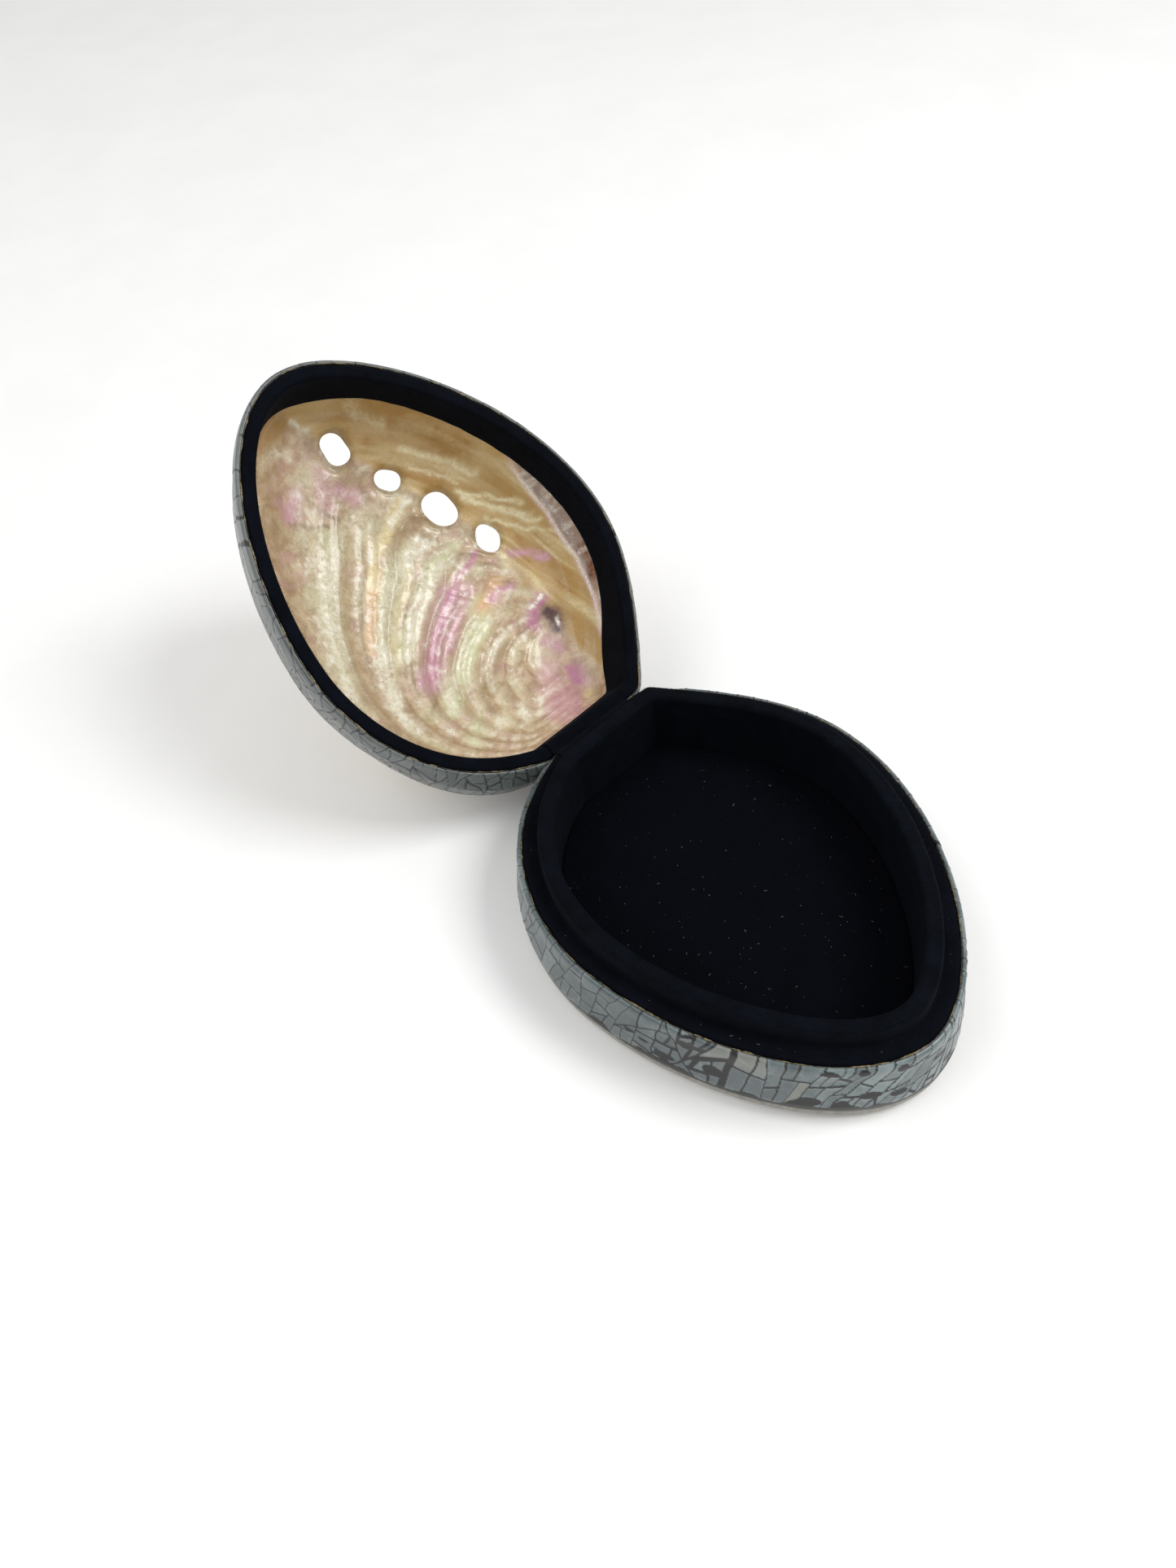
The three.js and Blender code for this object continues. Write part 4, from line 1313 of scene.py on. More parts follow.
@dataclass
class AbaloneLid:
    """The lid: the abalone shell, its mosaic band and its velvet liner.

    The shell's face is a dome over the rim outline. At a share s of the way out, its height is the
    margin's height plus the rest of the rise times (1 - s^2)^0.55, with growth ridges, the spire's
    pit and the rims of the breathing holes added.
    """

    rim_width: float = 3.5
    seat: float = 10.8
    rise: float = 22.3
    thickness: float = 2.0
    shell_inset: float = 1.3
    fullness: float = 0.55
    tip_climb: float = 4.0
    tip_climb_angle: float = 268.0
    corner_climb: float = 4.5
    corner_climb_angle: float = 58.0
    climb_spread: float = 13.0
    spire: tuple[float, float] = (26.5, 29.0)
    spire_depth: float = 2.2
    spire_radius: float = 5.0
    ridges: int = 8
    ridge_height: float = 0.6
    shelf_width: float = 4.0
    shelf_depth: float = 0.9
    velvet: float = 1.2
    seat_gap: float = 0.3
    band_height: float = 17.4
    band_crown: float = 0.8
    band_rim: float = 1.45
    band_top: float = 0.2
    belly_proud: float = 4.2
    belly_angle: float = 112.0
    belly_spread: float = 27.0
    belly_height: float = 9.1
    holes: tuple[BreathingHole, ...] = field(
        default_factory=lambda: (
            BreathingHole(3.2, -40.1, 4.0, (-0.55, -0.1), -0.12, (0.426, -0.226)),
            BreathingHole(11.2, -26.9, 3.3, (0.1, 0.35), 0.06, (0.448, -0.178)),
            BreathingHole(19.2, -13.4, 4.8, (-0.35, 0.3), -0.1, (0.471, -0.132)),
            BreathingHole(25.7, 0.2, 3.75, (-0.3, -0.05), 0.12, (0.489, -0.087)),
        )
    )

    @property
    def top(self) -> float:
        """Height of the shell's outer face in its middle."""
        return self.seat + self.rise

    def margin(self, angles: Array) -> Array:
        """Height of the shell's margin, which climbs at the tip and by the hinge's right end."""
        degrees = np.degrees(angles) % 360
        tip = self.tip_climb * ring_hump(degrees, self.tip_climb_angle, self.climb_spread)
        corner = self.corner_climb * ring_hump(degrees, self.corner_climb_angle, self.climb_spread)
        return self.seat + tip + corner

    def growth(self, x: Array, y: Array) -> tuple[Array, Array, Array]:
        """The growth lines of the shell.

        A growth line is the margin shrunk towards the spire and wound about it: the share of the
        way out is raised to a power that falls from 1 as the line runs round to the holes.

        Args:
            x: Points' x.
            y: Points' y.

        Returns:
            The growth value, 0 at the spire and 1 at the margin, the plain share of the way out
            and the angle about the spire in degrees.
        """
        share, angle = RIM.share_of(x, y, self.shell_inset, self.spire)
        share = np.minimum(share, 1.0)
        degrees = np.degrees(angle) % 360
        winding = np.minimum(0.4 + 0.6 * np.exp((190.0 - degrees) / 28.0), 4.0)
        drift = 0.065 * smoothstep(228.0, 256.0, degrees)
        return share**winding - drift, share, degrees

    def relief(self, x: Array, y: Array, share_out: Array) -> Array:
        """Height added to both faces of the shell, from its ridges, spire, cords and dimples.

        Args:
            x: Points' x.
            y: Points' y.
            share_out: The dome's own share of the way out.

        Returns:
            Height in millimetres, which fades towards the margin.
        """
        growth, share, degrees = self.growth(x, y)
        from_spire = np.hypot(x - self.spire[0], y - self.spire[1])
        left = 1 - smoothstep(-3.0, 1.0, x - self.hole_line(y))
        broad = left * smoothstep(105.0, 150.0, degrees)
        fade = np.sin(math.pi * np.clip(share, 0, 1)) ** 0.7
        wander = 0.012 * (layered_noise(x / 8.0, y / 8.0, 51) - 0.5)
        main = 2 * np.abs(np.cos(math.pi * self.ridges * (growth + wander))) ** 0.8 - 1
        fine = 2 * np.abs(np.cos(1.6 * TURN * self.ridges * (growth + wander))) - 1
        cords = np.maximum(0.0, np.cos(np.radians(degrees) * 26.0 + 2.2 * growth)) ** 6
        dimples = layered_noise(x / 2.6, y / 2.6, 57) - 0.5
        height = self.ridge_height * (main + 0.28 * fine) * fade - 0.16 * cords * fade + 0.5 * dimples
        swirl = 0.22 * np.cos(TURN * share_out * 9.0) * (1 - left) * smoothstep(0.45, 0.7, share_out)
        knob = self.spire_depth * hump(from_spire, 0.0, self.spire_radius)
        arch = np.clip(1 - share_out**2, 0.0, 1.0) ** (self.fullness / 2)
        return (knob + height * broad + swirl) * arch

    def hole_line(self, y: Array) -> Array:
        """The x of the row of holes at each y, through the holes' middles to the spire."""
        ys = [-52.0] + [hole.y for hole in self.holes] + [17.0, self.spire[1], 46.0]
        xs = [-6.0] + [hole.x for hole in self.holes] + [27.2, self.spire[0], 25.5]
        return np.interp(y, ys, xs)

    def face(self, angles: Array, share: float, inset: float, top: float, side: float) -> tuple[Array, Array]:
        """One ring of a face of the shell.

        Args:
            angles: Directions of the rays.
            share: Share of the way out.
            inset: Inset of the face's margin from the rim outline.
            top: Height of the face in its middle.
            side: 1 for the inner face and -1 for the outer one, which draw together at a hole.

        Returns:
            Radius and height of the ring, for each ray.
        """
        margin = self.margin(angles)
        radius = share * RIM.reach(angles, inset)
        arch = (1 - share**2) ** self.fullness
        x = radius * np.cos(angles)
        y = radius * np.sin(angles)
        height = margin + (top - margin) * arch + self.relief(x, y, np.full(angles.shape, share))
        for hole in self.holes:
            away = np.maximum(hole.outside(x, y), 0.0)
            height = height + side * (0.62 * hump(away, 0.0, 0.8) - 0.3 * hump(away, 2.4, 1.3))
        if side > 0:
            right = smoothstep(0.55, 0.85, np.cos(angles - math.radians(10.0)))
            from_margin = radius / max(share, 0.01) * (1 - share)
            ledge = smoothstep(0.2, 1.5, from_margin)
            ledge = ledge * (1 - smoothstep(self.shelf_width - 1, self.shelf_width + 1, from_margin))
            height = height - self.shelf_depth * right * ledge
        return radius, height

    def shell(self, finishes: Finishes) -> None:
        """Build the shell from its two faces, cut its holes and store its tint fields."""
        angles = rays(400)
        inner_shares = np.sin(np.linspace(0.0, 1.0, 152)[1:] * math.pi / 2)
        outer_shares = np.sin(np.linspace(0.0, 1.0, 84)[1:] * math.pi / 2)[::-1]
        inner_inset = self.shell_inset + self.thickness
        inner_top = self.top - self.thickness
        corners = [self.face(angles, share, inner_inset, inner_top, 1.0) for share in inner_shares]
        corners += [self.face(angles, share, self.shell_inset, self.top, -1.0) for share in outer_shares]
        points, faces = sweep(angles, stack_section(angles, corners), Closing.DISC)
        shell = add_mesh("abalone_shell", points, faces)
        for number, hole in enumerate(self.holes):
            self.cut(shell, hole, number)
        points = read_points(shell)
        for name, values in self.tints(points[:, 0], points[:, 1]).items():
            set_field(shell, name, values)
        write_points(shell, HINGE.opened(points))
        finish_piece(shell, finishes.nacre, "lid")
        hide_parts("lid_shell")

    def cut(self, shell: Piece, hole: BreathingHole, number: int) -> None:
        """Cut one breathing hole with a leaning tube whose outline is the hole's own.

        Args:
            shell: The shell's mesh.
            hole: The hole.
            number: Its place in the row, which picks its unevenness.
        """
        count = 72
        below, above = 8.0, 14.0
        around = rays(count)
        reach = hole.reach(around) * (1 + 0.02 * np.sin(3 * around + 2.1 * number))
        ring = np.stack([hole.x + reach * np.cos(around), hole.y + reach * np.sin(around)], axis=1)
        middle = (np.array([hole.x]), np.array([hole.y]))
        share, angle = RIM.share_of(*middle, self.shell_inset + self.thickness, (0.0, 0.0))
        margin = self.margin(angle)[0]
        inner = margin + (self.top - self.thickness - margin) * (1 - share[0] ** 2) ** self.fullness
        slant = np.array(hole.slant)
        low = np.column_stack([ring - below * slant, np.full(count, inner - below)])
        high = np.column_stack([ring + above * slant, np.full(count, inner + above)])
        sides = [(i, (i + 1) % count, count + (i + 1) % count, count + i) for i in range(count)]
        caps = [tuple(range(count - 1, -1, -1)), tuple(range(count, 2 * count))]
        cutter = add_mesh(f"cutter_{number}", np.concatenate([low, high]), sides + caps, False)
        modifier = shell.modifiers.new("hole", "BOOLEAN")
        modifier.operation = "DIFFERENCE"
        modifier.solver = "MANIFOLD"
        modifier.object = cutter
        depsgraph = bpy.context.evaluated_depsgraph_get()
        cut_mesh = bpy.data.meshes.new_from_object(shell.evaluated_get(depsgraph))
        shell.modifiers.clear()
        old = shell.data
        shell.data = cut_mesh
        bpy.data.meshes.remove(old)
        bpy.data.objects.remove(cutter)

    def tints(self, x: Array, y: Array) -> dict[str, Array]:
        """Where each tint of the nacre lies.

        Tints follow the growth lines left of the holes, and long streaks parallel to the margin
        right of them. Outside the fold of the right margin lies a strip of darker pearl. Painted
        highlights lie on the ridge crests and the fold's crest, and painted shade in the valleys and
        round the holes.

        Args:
            x: Points' x.
            y: Points' y.

        Returns:
            A field from 0 to 1 for each tint.
        """
        growth, share, degrees = self.growth(x, y)
        wander = 0.012 * (layered_noise(x / 8.0, y / 8.0, 51) - 0.5)
        patch = layered_noise(x / 6.0, y / 6.0, 63)
        fleck = layered_noise(x / 1.5, y / 1.5, 67)
        bent_x = x + 2.2 * (layered_noise(x / 3.5, y / 3.5, 91) - 0.5)
        bent_y = y + 2.2 * (layered_noise(x / 3.5, y / 3.5, 95) - 0.5)
        fields = {tint: np.zeros(x.shape) for tint in Tint}
        for stroke in STROKES:
            shade = stroke.shade(bent_x, bent_y) * (0.6 + 0.8 * fleck)
            fields[stroke.tint] = np.maximum(fields[stroke.tint], shade)
        beyond = x - self.hole_line(y)
        left = 1 - smoothstep(-2.0, 1.2, beyond)
        pearly = left * smoothstep(95.0, 150.0, degrees)
        crests = np.abs(np.cos(math.pi * self.ridges * (growth + wander)))
        fine = np.abs(np.cos(1.6 * TURN * self.ridges * (growth + wander)))
        valleys = (1 - crests) ** 1.7
        outer = smoothstep(0.2, 0.5, share) * smoothstep(110.0, 155.0, degrees)
        inland = smoothstep(-52.0, -34.0, y)
        rosy = np.clip(fields[Tint.PINK], 0.0, 1.0)
        # Painted highlights: cream glints on the ridge crests of the pearly part.
        glints = pearly * smoothstep(0.45, 0.8, fleck) * (0.25 + 0.75 * smoothstep(0.35, 0.65, patch))
        fields[Tint.LIGHT] += (0.5 * glints * crests**2 + 0.22 * pearly * crests**4) * inland
        fields[Tint.GREEN] += 0.4 * pearly * smoothstep(0.45, 0.7, 1 - patch) * crests * inland
        fields[Tint.PINK] += 0.3 * pearly * smoothstep(0.55, 0.75, patch) * smoothstep(0.4, 0.7, 1 - fleck)
        # Painted shade: olive along the valleys between the ridges.
        fields[Tint.OLIVE_SHADE] += pearly * (0.42 * valleys + 0.15 * (1 - fine) ** 2) * (0.1 + 0.9 * outer)
        # Less cream where the pink lies, and less in the valleys as painted shade.
        fields[Tint.LIGHT] *= (1 - 0.65 * rosy) * (1 - 0.35 * valleys * pearly)
        fields[Tint.GREEN] *= 1 - 0.7 * rosy
        fields[Tint.MAGENTA] += 0.4 * rosy * smoothstep(0.4, 0.7, 1 - fleck) * pearly
        # Painted glints: near-white sparkle on the crests where the cream and pink lie.
        shining = np.clip(np.maximum(fields[Tint.LIGHT], rosy), 0.0, 1.0)
        fields[Tint.PAINTED_GLEAM] += 0.45 * shining * smoothstep(0.5, 0.75, fleck) * pearly * crests
        margin_share, _ = RIM.share_of(x, y, self.shell_inset, (0.0, 0.0))
        across = 0.81 * x - 0.585 * y + 0.004 * (x + y) ** 2
        streaks = layered_noise(across / 1.9, (0.585 * x + 0.81 * y) / 15.0, 73)
        golden = smoothstep(-0.5, 2.2, beyond)
        fold_y = [-16.0, -9.0, 4.0, 18.0, 30.0, 42.0, 48.0]
        fold_x = [36.3, 37.8, 39.6, 39.0, 35.8, 30.3, 26.3]
        fold = x - np.interp(y, fold_y, fold_x)
        strip = smoothstep(0.0, 0.6, fold) * smoothstep(-20.0, -12.0, y)
        crest = hump(fold, -0.1, 0.4) * smoothstep(-16.0, -6.0, y)
        streak = golden * smoothstep(0.5, 0.75, streaks) * (0.2 + 0.35 * smoothstep(-45.0, 5.0, y))
        fields[Tint.STREAK] = np.maximum(fields[Tint.STREAK], streak) * (1 - strip)
        fields[Tint.AMBER] += golden * 0.5 * smoothstep(0.55, 0.3, streaks)
        fields[Tint.GOLDEN] = golden * (1 - strip) * (1 - np.clip(fields[Tint.PINK], 0, 1))
        fields[Tint.STRIP] = strip * 0.85
        # Pink along the fold's crest with a painted highlight on it, and painted sparkle on the strip beyond.
        fields[Tint.PINK] += 0.8 * crest
        fields[Tint.PAINTED_GLEAM] += 0.55 * crest + 0.4 * strip * smoothstep(0.5, 0.7, fleck)
        # Painted shade in olive round each hole's rim.
        for hole in self.holes:
            near = hump(np.maximum(hole.outside(x, y), 0.0), 0.0, 0.6)
            fields[Tint.OLIVE_SHADE] = np.maximum(fields[Tint.OLIVE_SHADE], 0.6 * near)
        plain = 1 - 0.75 * smoothstep(0.9, 0.985, margin_share) * left * smoothstep(168.0, 186.0, degrees)
        for tint in (Tint.GREEN, Tint.PINK, Tint.LIGHT):
            fields[tint] = fields[tint] * plain
        return {tint.value: np.clip(values, 0.0, 1.0) for tint, values in fields.items()}

    def band(self, finishes: Finishes) -> None:
        """Build the lid's mosaic band, which bellies out beside the left end of the hinge."""
        seams = ((20.0, 0.9, 0.2), (104.0, 0.3, 0.2), (218.5, 0.5, -0.25))
        seams += ((226.0, 0.35, -0.3), (300.0, 0.3, 0.3))
        sizes = ((0.0, 6.0), (105.0, 3.4), (150.0, 4.2), (172.0, 5.0), (190.0, 6.5))
        sizes += ((214.0, 7.5), (360.0, 6.0))
        cracks = ((0.0, 0.12), (105.0, 0.11), (180.0, 0.12), (360.0, 0.12))
        crackle = Crackle(97, seams, sizes, cracks, bend=1.3, lean=0.3, stretch=1.0)
        shallow = {"ray_count": 960, "groove": 0.1, "foot_dark": 0.35, "foot_dark_swell": 0.0}
        band = MosaicBand("lid_mosaic_band", "lid_band", "lid", "lid_mosaic", crackle, **shallow)
        angles = rays(band.ray_count)
        low = self.velvet + self.seat_gap
        swell = ring_hump(np.degrees(angles), self.belly_angle, self.belly_spread)

        def corner(proud: float, height: float) -> tuple[Array, float]:
            """A corner proud of the rim outline and swollen by the belly, cut back at the hinge."""
            share = max(0.0, 1 - ((height - self.belly_height) / (self.belly_height - low)) ** 2)
            radius = RIM.reach(angles, 0.0) + proud + self.belly_proud * share * swell
            plain = RIM.reach(angles, -proud)
            radius = np.maximum(plain, radius - proud + plain - RIM.reach(angles, 0.0))
            return HINGE.held_back(radius, angles, height + HINGE.shut_rim), height

        margin = self.margin(angles)

        def over_shell(share: float) -> tuple[Array, Array]:
            """Where the band's inner face passes just outside the shell's outer face."""
            height = margin + (self.band_height + self.band_crown - margin) * share
            arch = (height - margin) / (self.top - margin)
            out = np.sqrt(np.maximum(0.0, 1 - arch ** (1 / self.fullness)))
            return out * RIM.reach(angles, self.shell_inset) + 2 * self.seat_gap, height

        face = [
            corner(0.2, low - 0.1),
            corner(0.2, 0.36),
            corner(0.75, 0.36),
            corner(1.2, 0.8),
            corner(1.36, 2.0),
            corner(self.band_rim, 4.7),
            corner((self.band_rim + self.band_top) / 2, self.belly_height),
            corner((self.band_rim + 3 * self.band_top) / 4, (self.belly_height + 15.8) / 2),
            corner(self.band_top, 15.8),
            (RIM.reach(angles, self.band_crown / 2), self.band_height + self.band_crown / 4),
            (RIM.reach(angles, 2 * self.band_crown), self.band_height + self.band_crown),
            over_shell(1.0),
        ]
        hidden = [
            over_shell(1.0),
            over_shell(0.5),
            (RIM.reach(angles, self.shell_inset - self.seat_gap), margin - self.seat_gap),
            (RIM.reach(angles, 2.0), margin - self.seat_gap),
            (RIM.reach(angles, 2.0), low),
            (RIM.reach(angles, self.seat_gap), low),
            corner(0.2, low - 0.1),
        ]
        band.dress(angles, face, hidden, True, finishes.lid_mosaic)

    def liner(self, finishes: Finishes) -> None:
        """Build the velvet of the lid's rim and inner wall, its far edge a little ragged."""
        angles = rays(440)
        turn = 0.6
        ragged = 0.5 * (layered_noise(angles * 14.0, angles * 0, 83) - 0.5)
        wall_top = self.margin(angles) - self.seat_gap + ragged - 0.1
        wall = self.rim_width - self.velvet
        corners = [
            (RIM.reach(angles, self.rim_width), turn),
            (RIM.reach(angles, self.rim_width - turn), 0.0),
            (RIM.reach(angles, turn), 0.0),
            (RIM.reach(angles, 0.05), turn),
            (RIM.reach(angles, 0.05), self.velvet),
            (RIM.reach(angles, wall), self.velvet),
            (RIM.reach(angles, wall), wall_top),
            (RIM.reach(angles, self.rim_width), wall_top),
        ]
        section = stack_section(angles, corners)[:, ::-1]
        section, _ = rounded(section, 0.35, 0.35, Closing.RING)
        points, faces = sweep(angles, section, Closing.RING)
        faces = [face[::-1] for face in faces]
        liner = add_mesh("lid_velvet_liner", HINGE.opened(points), faces)
        finish_piece(liner, finishes.velvet, "lid")
        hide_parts("lid_liner")

    def build(self, finishes: Finishes) -> None:
        """Build every piece of the lid."""
        self.shell(finishes)
        self.band(finishes)
        self.liner(finishes)


@dataclass
class HingeCloth:
    """The strip of velvet cloth glued over both rims, on which the lid swings."""

    left: float = -7.0
    right: float = 17.4
    thickness: float = 0.3
    on_ledge: float = 3.9
    down_wall: float = 3.6
    lift: float = 0.25
    ledge_end: float = 55.5
    bend_y: float = 56.4
    bend_sag: float = 0.45
    lid_start: float = 55.6
    lid_turn: float = 52.7
    lid_wall: float = 52.25

    def centre_line(self) -> Array:
        """The cloth's middle line in y and z: along the ledge, over the gap, and into the lid."""
        ledge_z = HINGE.rim_height + self.lift
        start = [[RIM.back_reach - self.on_ledge, ledge_z], [self.ledge_end, ledge_z]]
        start.append([self.bend_y, ledge_z - self.bend_sag])
        lid = [[0.0, self.lid_start, -self.lift], [0.0, self.lid_turn, -self.lift]]
        lid += [[0.0, self.lid_wall, 0.3], [0.0, self.lid_wall, self.down_wall]]
        return np.concatenate([np.array(start), HINGE.opened(np.array(lid))[:, 1:]])

    def build(self, finishes: Finishes) -> None:
        """Build the strip: its thickness stands on both sides of the rounded middle line."""
        line, _ = rounded(self.centre_line()[None, :, :], 0.16, 0.3, Closing.DISC)
        line = line[0]
        tangent = np.gradient(line, axis=0)
        tangent = tangent / np.linalg.norm(tangent, axis=1)[:, None]
        normal = np.stack([-tangent[:, 1], tangent[:, 0]], axis=1)
        count = 110
        x = np.linspace(self.left, self.right, count)
        sides = []
        for side in (0.5, -0.5):
            yz = line + normal * side * self.thickness
            grid = np.stack(np.broadcast_arrays(x[None, :], yz[:, :1], yz[:, 1:]), axis=2)
            sides.append(grid.reshape(-1, 3))
        rows = len(line)
        row, column = np.meshgrid(np.arange(rows - 1), np.arange(count - 1), indexing="ij")
        corner = (row * count + column).ravel()
        upper = np.stack([corner, corner + 1, corner + count + 1, corner + count], axis=1)
        lower = upper[:, ::-1] + rows * count
        border = np.concatenate(
            [
                np.arange(count),
                np.arange(1, rows) * count + count - 1,
                (rows - 1) * count + np.arange(count - 2, -1, -1),
                np.arange(rows - 2, 0, -1) * count,
            ]
        )
        after = np.roll(border, -1)
        walls = np.stack([after, border, border + rows * count, after + rows * count], axis=1)
        faces = [tuple(face) for face in np.concatenate([upper, lower, walls]).tolist()]
        cloth = add_mesh("hinge_cloth", np.concatenate(sides), faces)
        cloth.data.materials.append(finishes.velvet)
        turn_end = HINGE.opened(np.array([[0.0, self.lid_start, -self.lift]]))[0]
        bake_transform(cloth)
        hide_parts("hinge_cloth_base", "hinge_cloth_lid")


def fibres(starts: Array, directions: Array, lengths: Array, width: float, seed: int) -> tuple[Array, Faces]:
    """Thin closed spikes, each a stretched tetrahedron.

    Three points stand round the start, square to the direction, and the fourth is the tip.

    Args:
        starts: Where each fibre stands.
        directions: Unit directions.
        lengths: Fibre lengths.
        width: Distance of the foot's corners from its middle.
        seed: Picks how each fibre is turned about itself.

    Returns:
        Points in rows of x, y, z, and the faces.
    """
    draw = np.random.default_rng(seed)
    side = np.cross(directions, draw.normal(size=directions.shape))
    side /= np.linalg.norm(side, axis=1)[:, None]
    other = np.cross(directions, side)
    turns = (0.0, TURN / 3, 2 * TURN / 3)
    feet = [starts + width * (math.cos(turn) * side + math.sin(turn) * other) for turn in turns]
    tips = starts + directions * lengths[:, None]
    points = np.stack(feet + [tips], axis=1).reshape(-1, 3)
    first = 4 * np.arange(len(starts))[:, None]
    corners = np.array([[0, 2, 1], [0, 1, 3], [1, 2, 3], [2, 0, 3]])
    faces = (first[:, :, None] + corners[None]).reshape(-1, 3)
    return points, [tuple(face) for face in faces.tolist()]


@dataclass
class Nap:
    """The loose pile and lint of the velvet, and the beads of glue along its outer edges."""

    fuzz_count: int = 2600
    fuzz_length: float = 0.55
    fuzz_width: float = 0.035
    lint_count: int = 240
    lint_width: float = 0.042
    ledge_lint: int = 30
    floor_height: float = 8.1
    ledge_height: float = 21.05

    def edge(
        self, inset: float, height: float, count: int, outward: float, seed: int
    ) -> tuple[Array, Array, Array]:
        """Scatter fibres along a velvet edge.

        Args:
            inset: The edge's inset from the rim outline.
            height: Its height.
            count: How many fibres.
            outward: How far they lean outwards, from -1 to 1.
            seed: Which scatter.

        Returns:
            Starts, directions and lengths.
        """
        draw = np.random.default_rng(seed)
        angles = draw.uniform(0, TURN, count)
        radius = RIM.reach(angles, inset) + draw.normal(0, 0.12, count)
        heights = height + draw.normal(0, 0.08, count)
        starts = np.stack([radius * np.cos(angles), radius * np.sin(angles), heights], axis=1)
        lean = outward + draw.normal(0, 0.35, count)
        directions = np.stack([np.cos(angles) * lean, np.sin(angles) * lean, np.full(count, 0.8)], axis=1)
        directions += draw.normal(0, 0.35, directions.shape)
        directions /= np.linalg.norm(directions, axis=1)[:, None]
        return starts, directions, self.fuzz_length * draw.uniform(0.3, 1.2, count)

    def tray_fuzz(self, finishes: Finishes) -> None:
        """Fibres on the ledge's outer edge and on both edges of the collar."""
        parts = [
            self.edge(0.15, 20.75, self.fuzz_count, 0.5, 101),
            self.edge(4.7, 25.95, self.fuzz_count // 2, 0.2, 102),
            self.edge(7.4, 25.95, self.fuzz_count // 2, -0.2, 103),
        ]
        starts, directions, lengths = (np.concatenate(part) for part in zip(*parts))
        points, faces = fibres(starts, directions, lengths, self.fuzz_width, 104)
        finish_piece(add_mesh("tray_velvet_pile", points, faces, False), finishes.velvet, "tray")

    def lid_fuzz(self, finishes: Finishes) -> None:
        """Fibres on both edges of the lid's rim, pointing away from the shell."""
        parts = [
            self.edge(0.15, 0.25, self.fuzz_count, 0.5, 111),
            self.edge(3.35, 0.25, self.fuzz_count // 2, -0.5, 112),
        ]
        starts, directions, lengths = (np.concatenate(part) for part in zip(*parts))
        directions[:, 2] *= -1
        points, faces = fibres(starts, directions, lengths, self.fuzz_width, 114)
        piece = add_mesh("lid_velvet_pile", HINGE.opened(points), faces, False)
        finish_piece(piece, finishes.velvet, "lid")

    def lint(self, finishes: Finishes) -> None:
        """Pale specks and short hairs on the tray's floor and ledge."""
        draw = np.random.default_rng(131)
        count = self.lint_count
        angles = draw.uniform(0, TURN, count)
        share = np.sqrt(draw.uniform(0.0, 1.0, count))
        radius = RIM.reach(angles, 9.5) * share
        heights = np.full(count, self.floor_height)
        starts = np.stack([radius * np.cos(angles), radius * np.sin(angles), heights], axis=1)
        on_ledge = slice(self.ledge_lint)
        starts[on_ledge, :2] *= (RIM.reach(angles[on_ledge], 2.2) / radius[on_ledge])[:, None]
        starts[on_ledge, 2] = self.ledge_height
        directions = draw.normal(0, 1, (count, 3))
        directions[:, 2] = np.abs(directions[:, 2]) * 0.15
        directions /= np.linalg.norm(directions, axis=1)[:, None]
        hairs = draw.random(count) < 0.35
        lengths = np.where(hairs, draw.uniform(0.3, 0.9, count), draw.uniform(0.1, 0.25, count))
        points, faces = fibres(starts, directions, lengths, self.lint_width, 132)
        finish_piece(add_mesh("tray_lint", points, faces, False), finishes.lint, "tray")

    def glue_bead(self, inset: float, height: float, seed: int) -> tuple[Array, Faces]:
        """A thin uneven bead of dried glue round the box, a tube whose radius is noise.

        Args:
            inset: Inset of its middle line from the rim outline.
            height: Height of its middle line.
            seed: Which noise.

        Returns:
            Points and faces of a closed ring.
        """
        angles = rays(900)
        around = rays(7)
        thick = 0.03 + 0.22 * smoothstep(0.45, 0.75, layered_noise(angles * 22, angles * 0, seed, 4))
        wander = 0.25 * (layered_noise(angles * 16, angles * 0, seed + 3) - 0.5)
        middle = RIM.reach(angles, inset) + wander
        rise = height + 0.2 * (layered_noise(angles * 13, angles * 0, seed + 7) - 0.5)
        section = np.stack(
            [
                middle[:, None] + thick[:, None] * np.cos(around)[None, :],
                rise[:, None] + thick[:, None] * np.sin(around)[None, :],
            ],
            axis=2,
        )
        return sweep(angles, section, Closing.RING)

    def build(self, finishes: Finishes) -> None:
        """Build the fuzz, lint and glue of both halves."""
        self.tray_fuzz(finishes)
        self.lid_fuzz(finishes)
        self.lint(finishes)
        points, faces = self.glue_bead(-0.12, 20.6, 141)
        finish_piece(add_mesh("tray_glue_line", points, faces), finishes.glue, "tray")
        points, faces = self.glue_bead(-0.12, 0.42, 151)
        bead = add_mesh("lid_glue_line", HINGE.opened(points), faces)
        finish_piece(bead, finishes.glue, "lid")


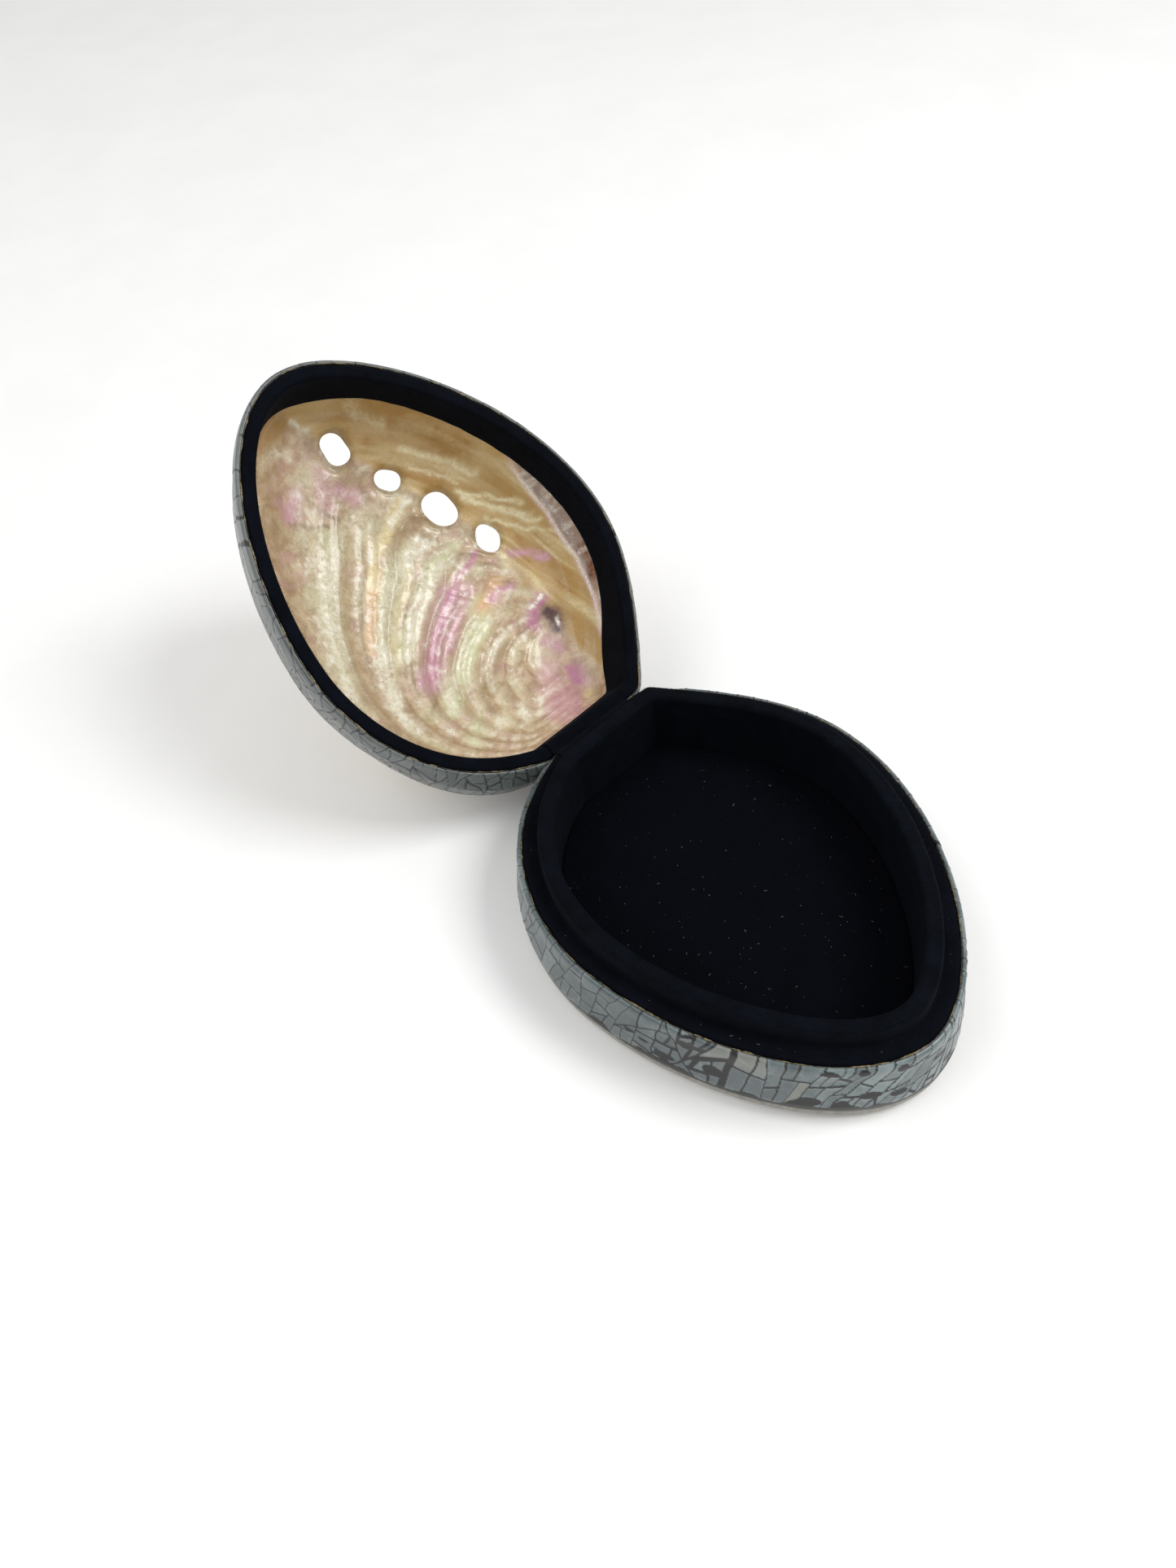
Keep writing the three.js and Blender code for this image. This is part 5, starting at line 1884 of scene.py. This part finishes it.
@dataclass
class Studio:
    """The plain pale floor, the soft lights and the camera."""

    camera_place: tuple[float, float, float] = (-121.89, -99.72, 245.89)
    heading: float = 38.39
    tilt: float = 50.94
    roll: float = -7.44
    lens: float = 36.59
    sensor: float = 36.0
    floor_half: float = 6000.0
    sky_strength: float = 0.62

    def camera(self) -> None:
        """Place the camera by its heading, its tilt below the horizon and its roll."""
        data = bpy.data.cameras.new("camera")
        data.sensor_fit = "HORIZONTAL"
        data.sensor_width = self.sensor
        data.lens = self.lens
        data.clip_start = 0.01
        data.clip_end = 20.0
        camera = bpy.data.objects.new("camera", data)
        bpy.context.scene.collection.objects.link(camera)
        heading = math.radians(self.heading)
        tilt = math.radians(self.tilt)
        roll = math.radians(self.roll)
        forward = np.array(
            [math.sin(heading) * math.cos(tilt), math.cos(heading) * math.cos(tilt), -math.sin(tilt)]
        )
        level_right = np.array([math.cos(heading), -math.sin(heading), 0.0])
        level_up = np.cross(level_right, forward)
        right = math.cos(roll) * level_right + math.sin(roll) * level_up
        up = np.cross(right, forward)
        turned = Matrix.Identity(4)
        for row in range(3):
            turned[row][0] = right[row]
            turned[row][1] = up[row]
            turned[row][2] = -forward[row]
            turned[row][3] = self.camera_place[row] * MM
        camera.matrix_world = turned
        bpy.context.scene.camera = camera

    def floor(self) -> None:
        """Lay a wide pale floor."""
        half = self.floor_half
        points = np.array([[-half, -half, 0.0], [half, -half, 0.0], [half, half, 0.0], [-half, half, 0.0]])
        floor = add_mesh("studio_floor", points, [(0, 1, 2, 3)], False)
        pale = SpeckledFinish("studio_floor", "#F4F4F3", "#F7F7F6", 40.0, 0.9, bump_mm=0.0)
        floor.data.materials.append(pale.material())

    def light(self, name: str, place: tuple[float, float, float], size: float, power: float) -> None:
        """Hang a square soft light that faces the box.

        Args:
            name: The light's name.
            place: Where it hangs, in metres.
            size: Its side, in metres.
            power: Its power, in watts.
        """
        data = bpy.data.lights.new(name, "AREA")
        data.shape = "SQUARE"
        data.size = size
        data.energy = power
        lamp = bpy.data.objects.new(name, data)
        bpy.context.scene.collection.objects.link(lamp)
        place_array = np.array(place)
        toward = -place_array / np.linalg.norm(place_array)
        side = np.cross(toward, [0.0, 0.0, 1.0])
        side = side / np.linalg.norm(side)
        up = np.cross(side, toward)
        turned = Matrix.Identity(4)
        for row in range(3):
            turned[row][0] = side[row]
            turned[row][1] = up[row]
            turned[row][2] = -toward[row]
            turned[row][3] = place[row]
        lamp.matrix_world = turned

    def world(self) -> None:
        """Fill the shadows with an even pale sky."""
        world = bpy.data.worlds.new("studio_world")
        world.use_nodes = True
        bpy.context.scene.world = world
        background = world.node_tree.nodes["Background"]
        background.inputs["Color"].default_value = linear("#FFFFFF")
        background.inputs["Strength"].default_value = self.sky_strength

    def build(self) -> None:
        """Build the camera, floor and lights, and show colours as they are set."""
        bpy.context.scene.view_settings.view_transform = "Standard"
        self.camera()
        self.floor()
        self.world()
        self.light("key_light", (0.4, -0.42, 0.8), 0.42, 5.5)
        self.light("window_light", (-0.55, 0.3, 0.85), 0.7, 3.0)


def main() -> None:
    """Build the studio and the box, piece by piece."""
    logging.basicConfig(level=logging.INFO, format="%(name)s %(message)s")
    Studio().build()
    finishes = Finishes()
    Tray().build(finishes)
    AbaloneLid().build(finishes)
    HingeCloth().build(finishes)
    Nap().build(finishes)
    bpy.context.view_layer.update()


if __name__ == "__main__":
    main()
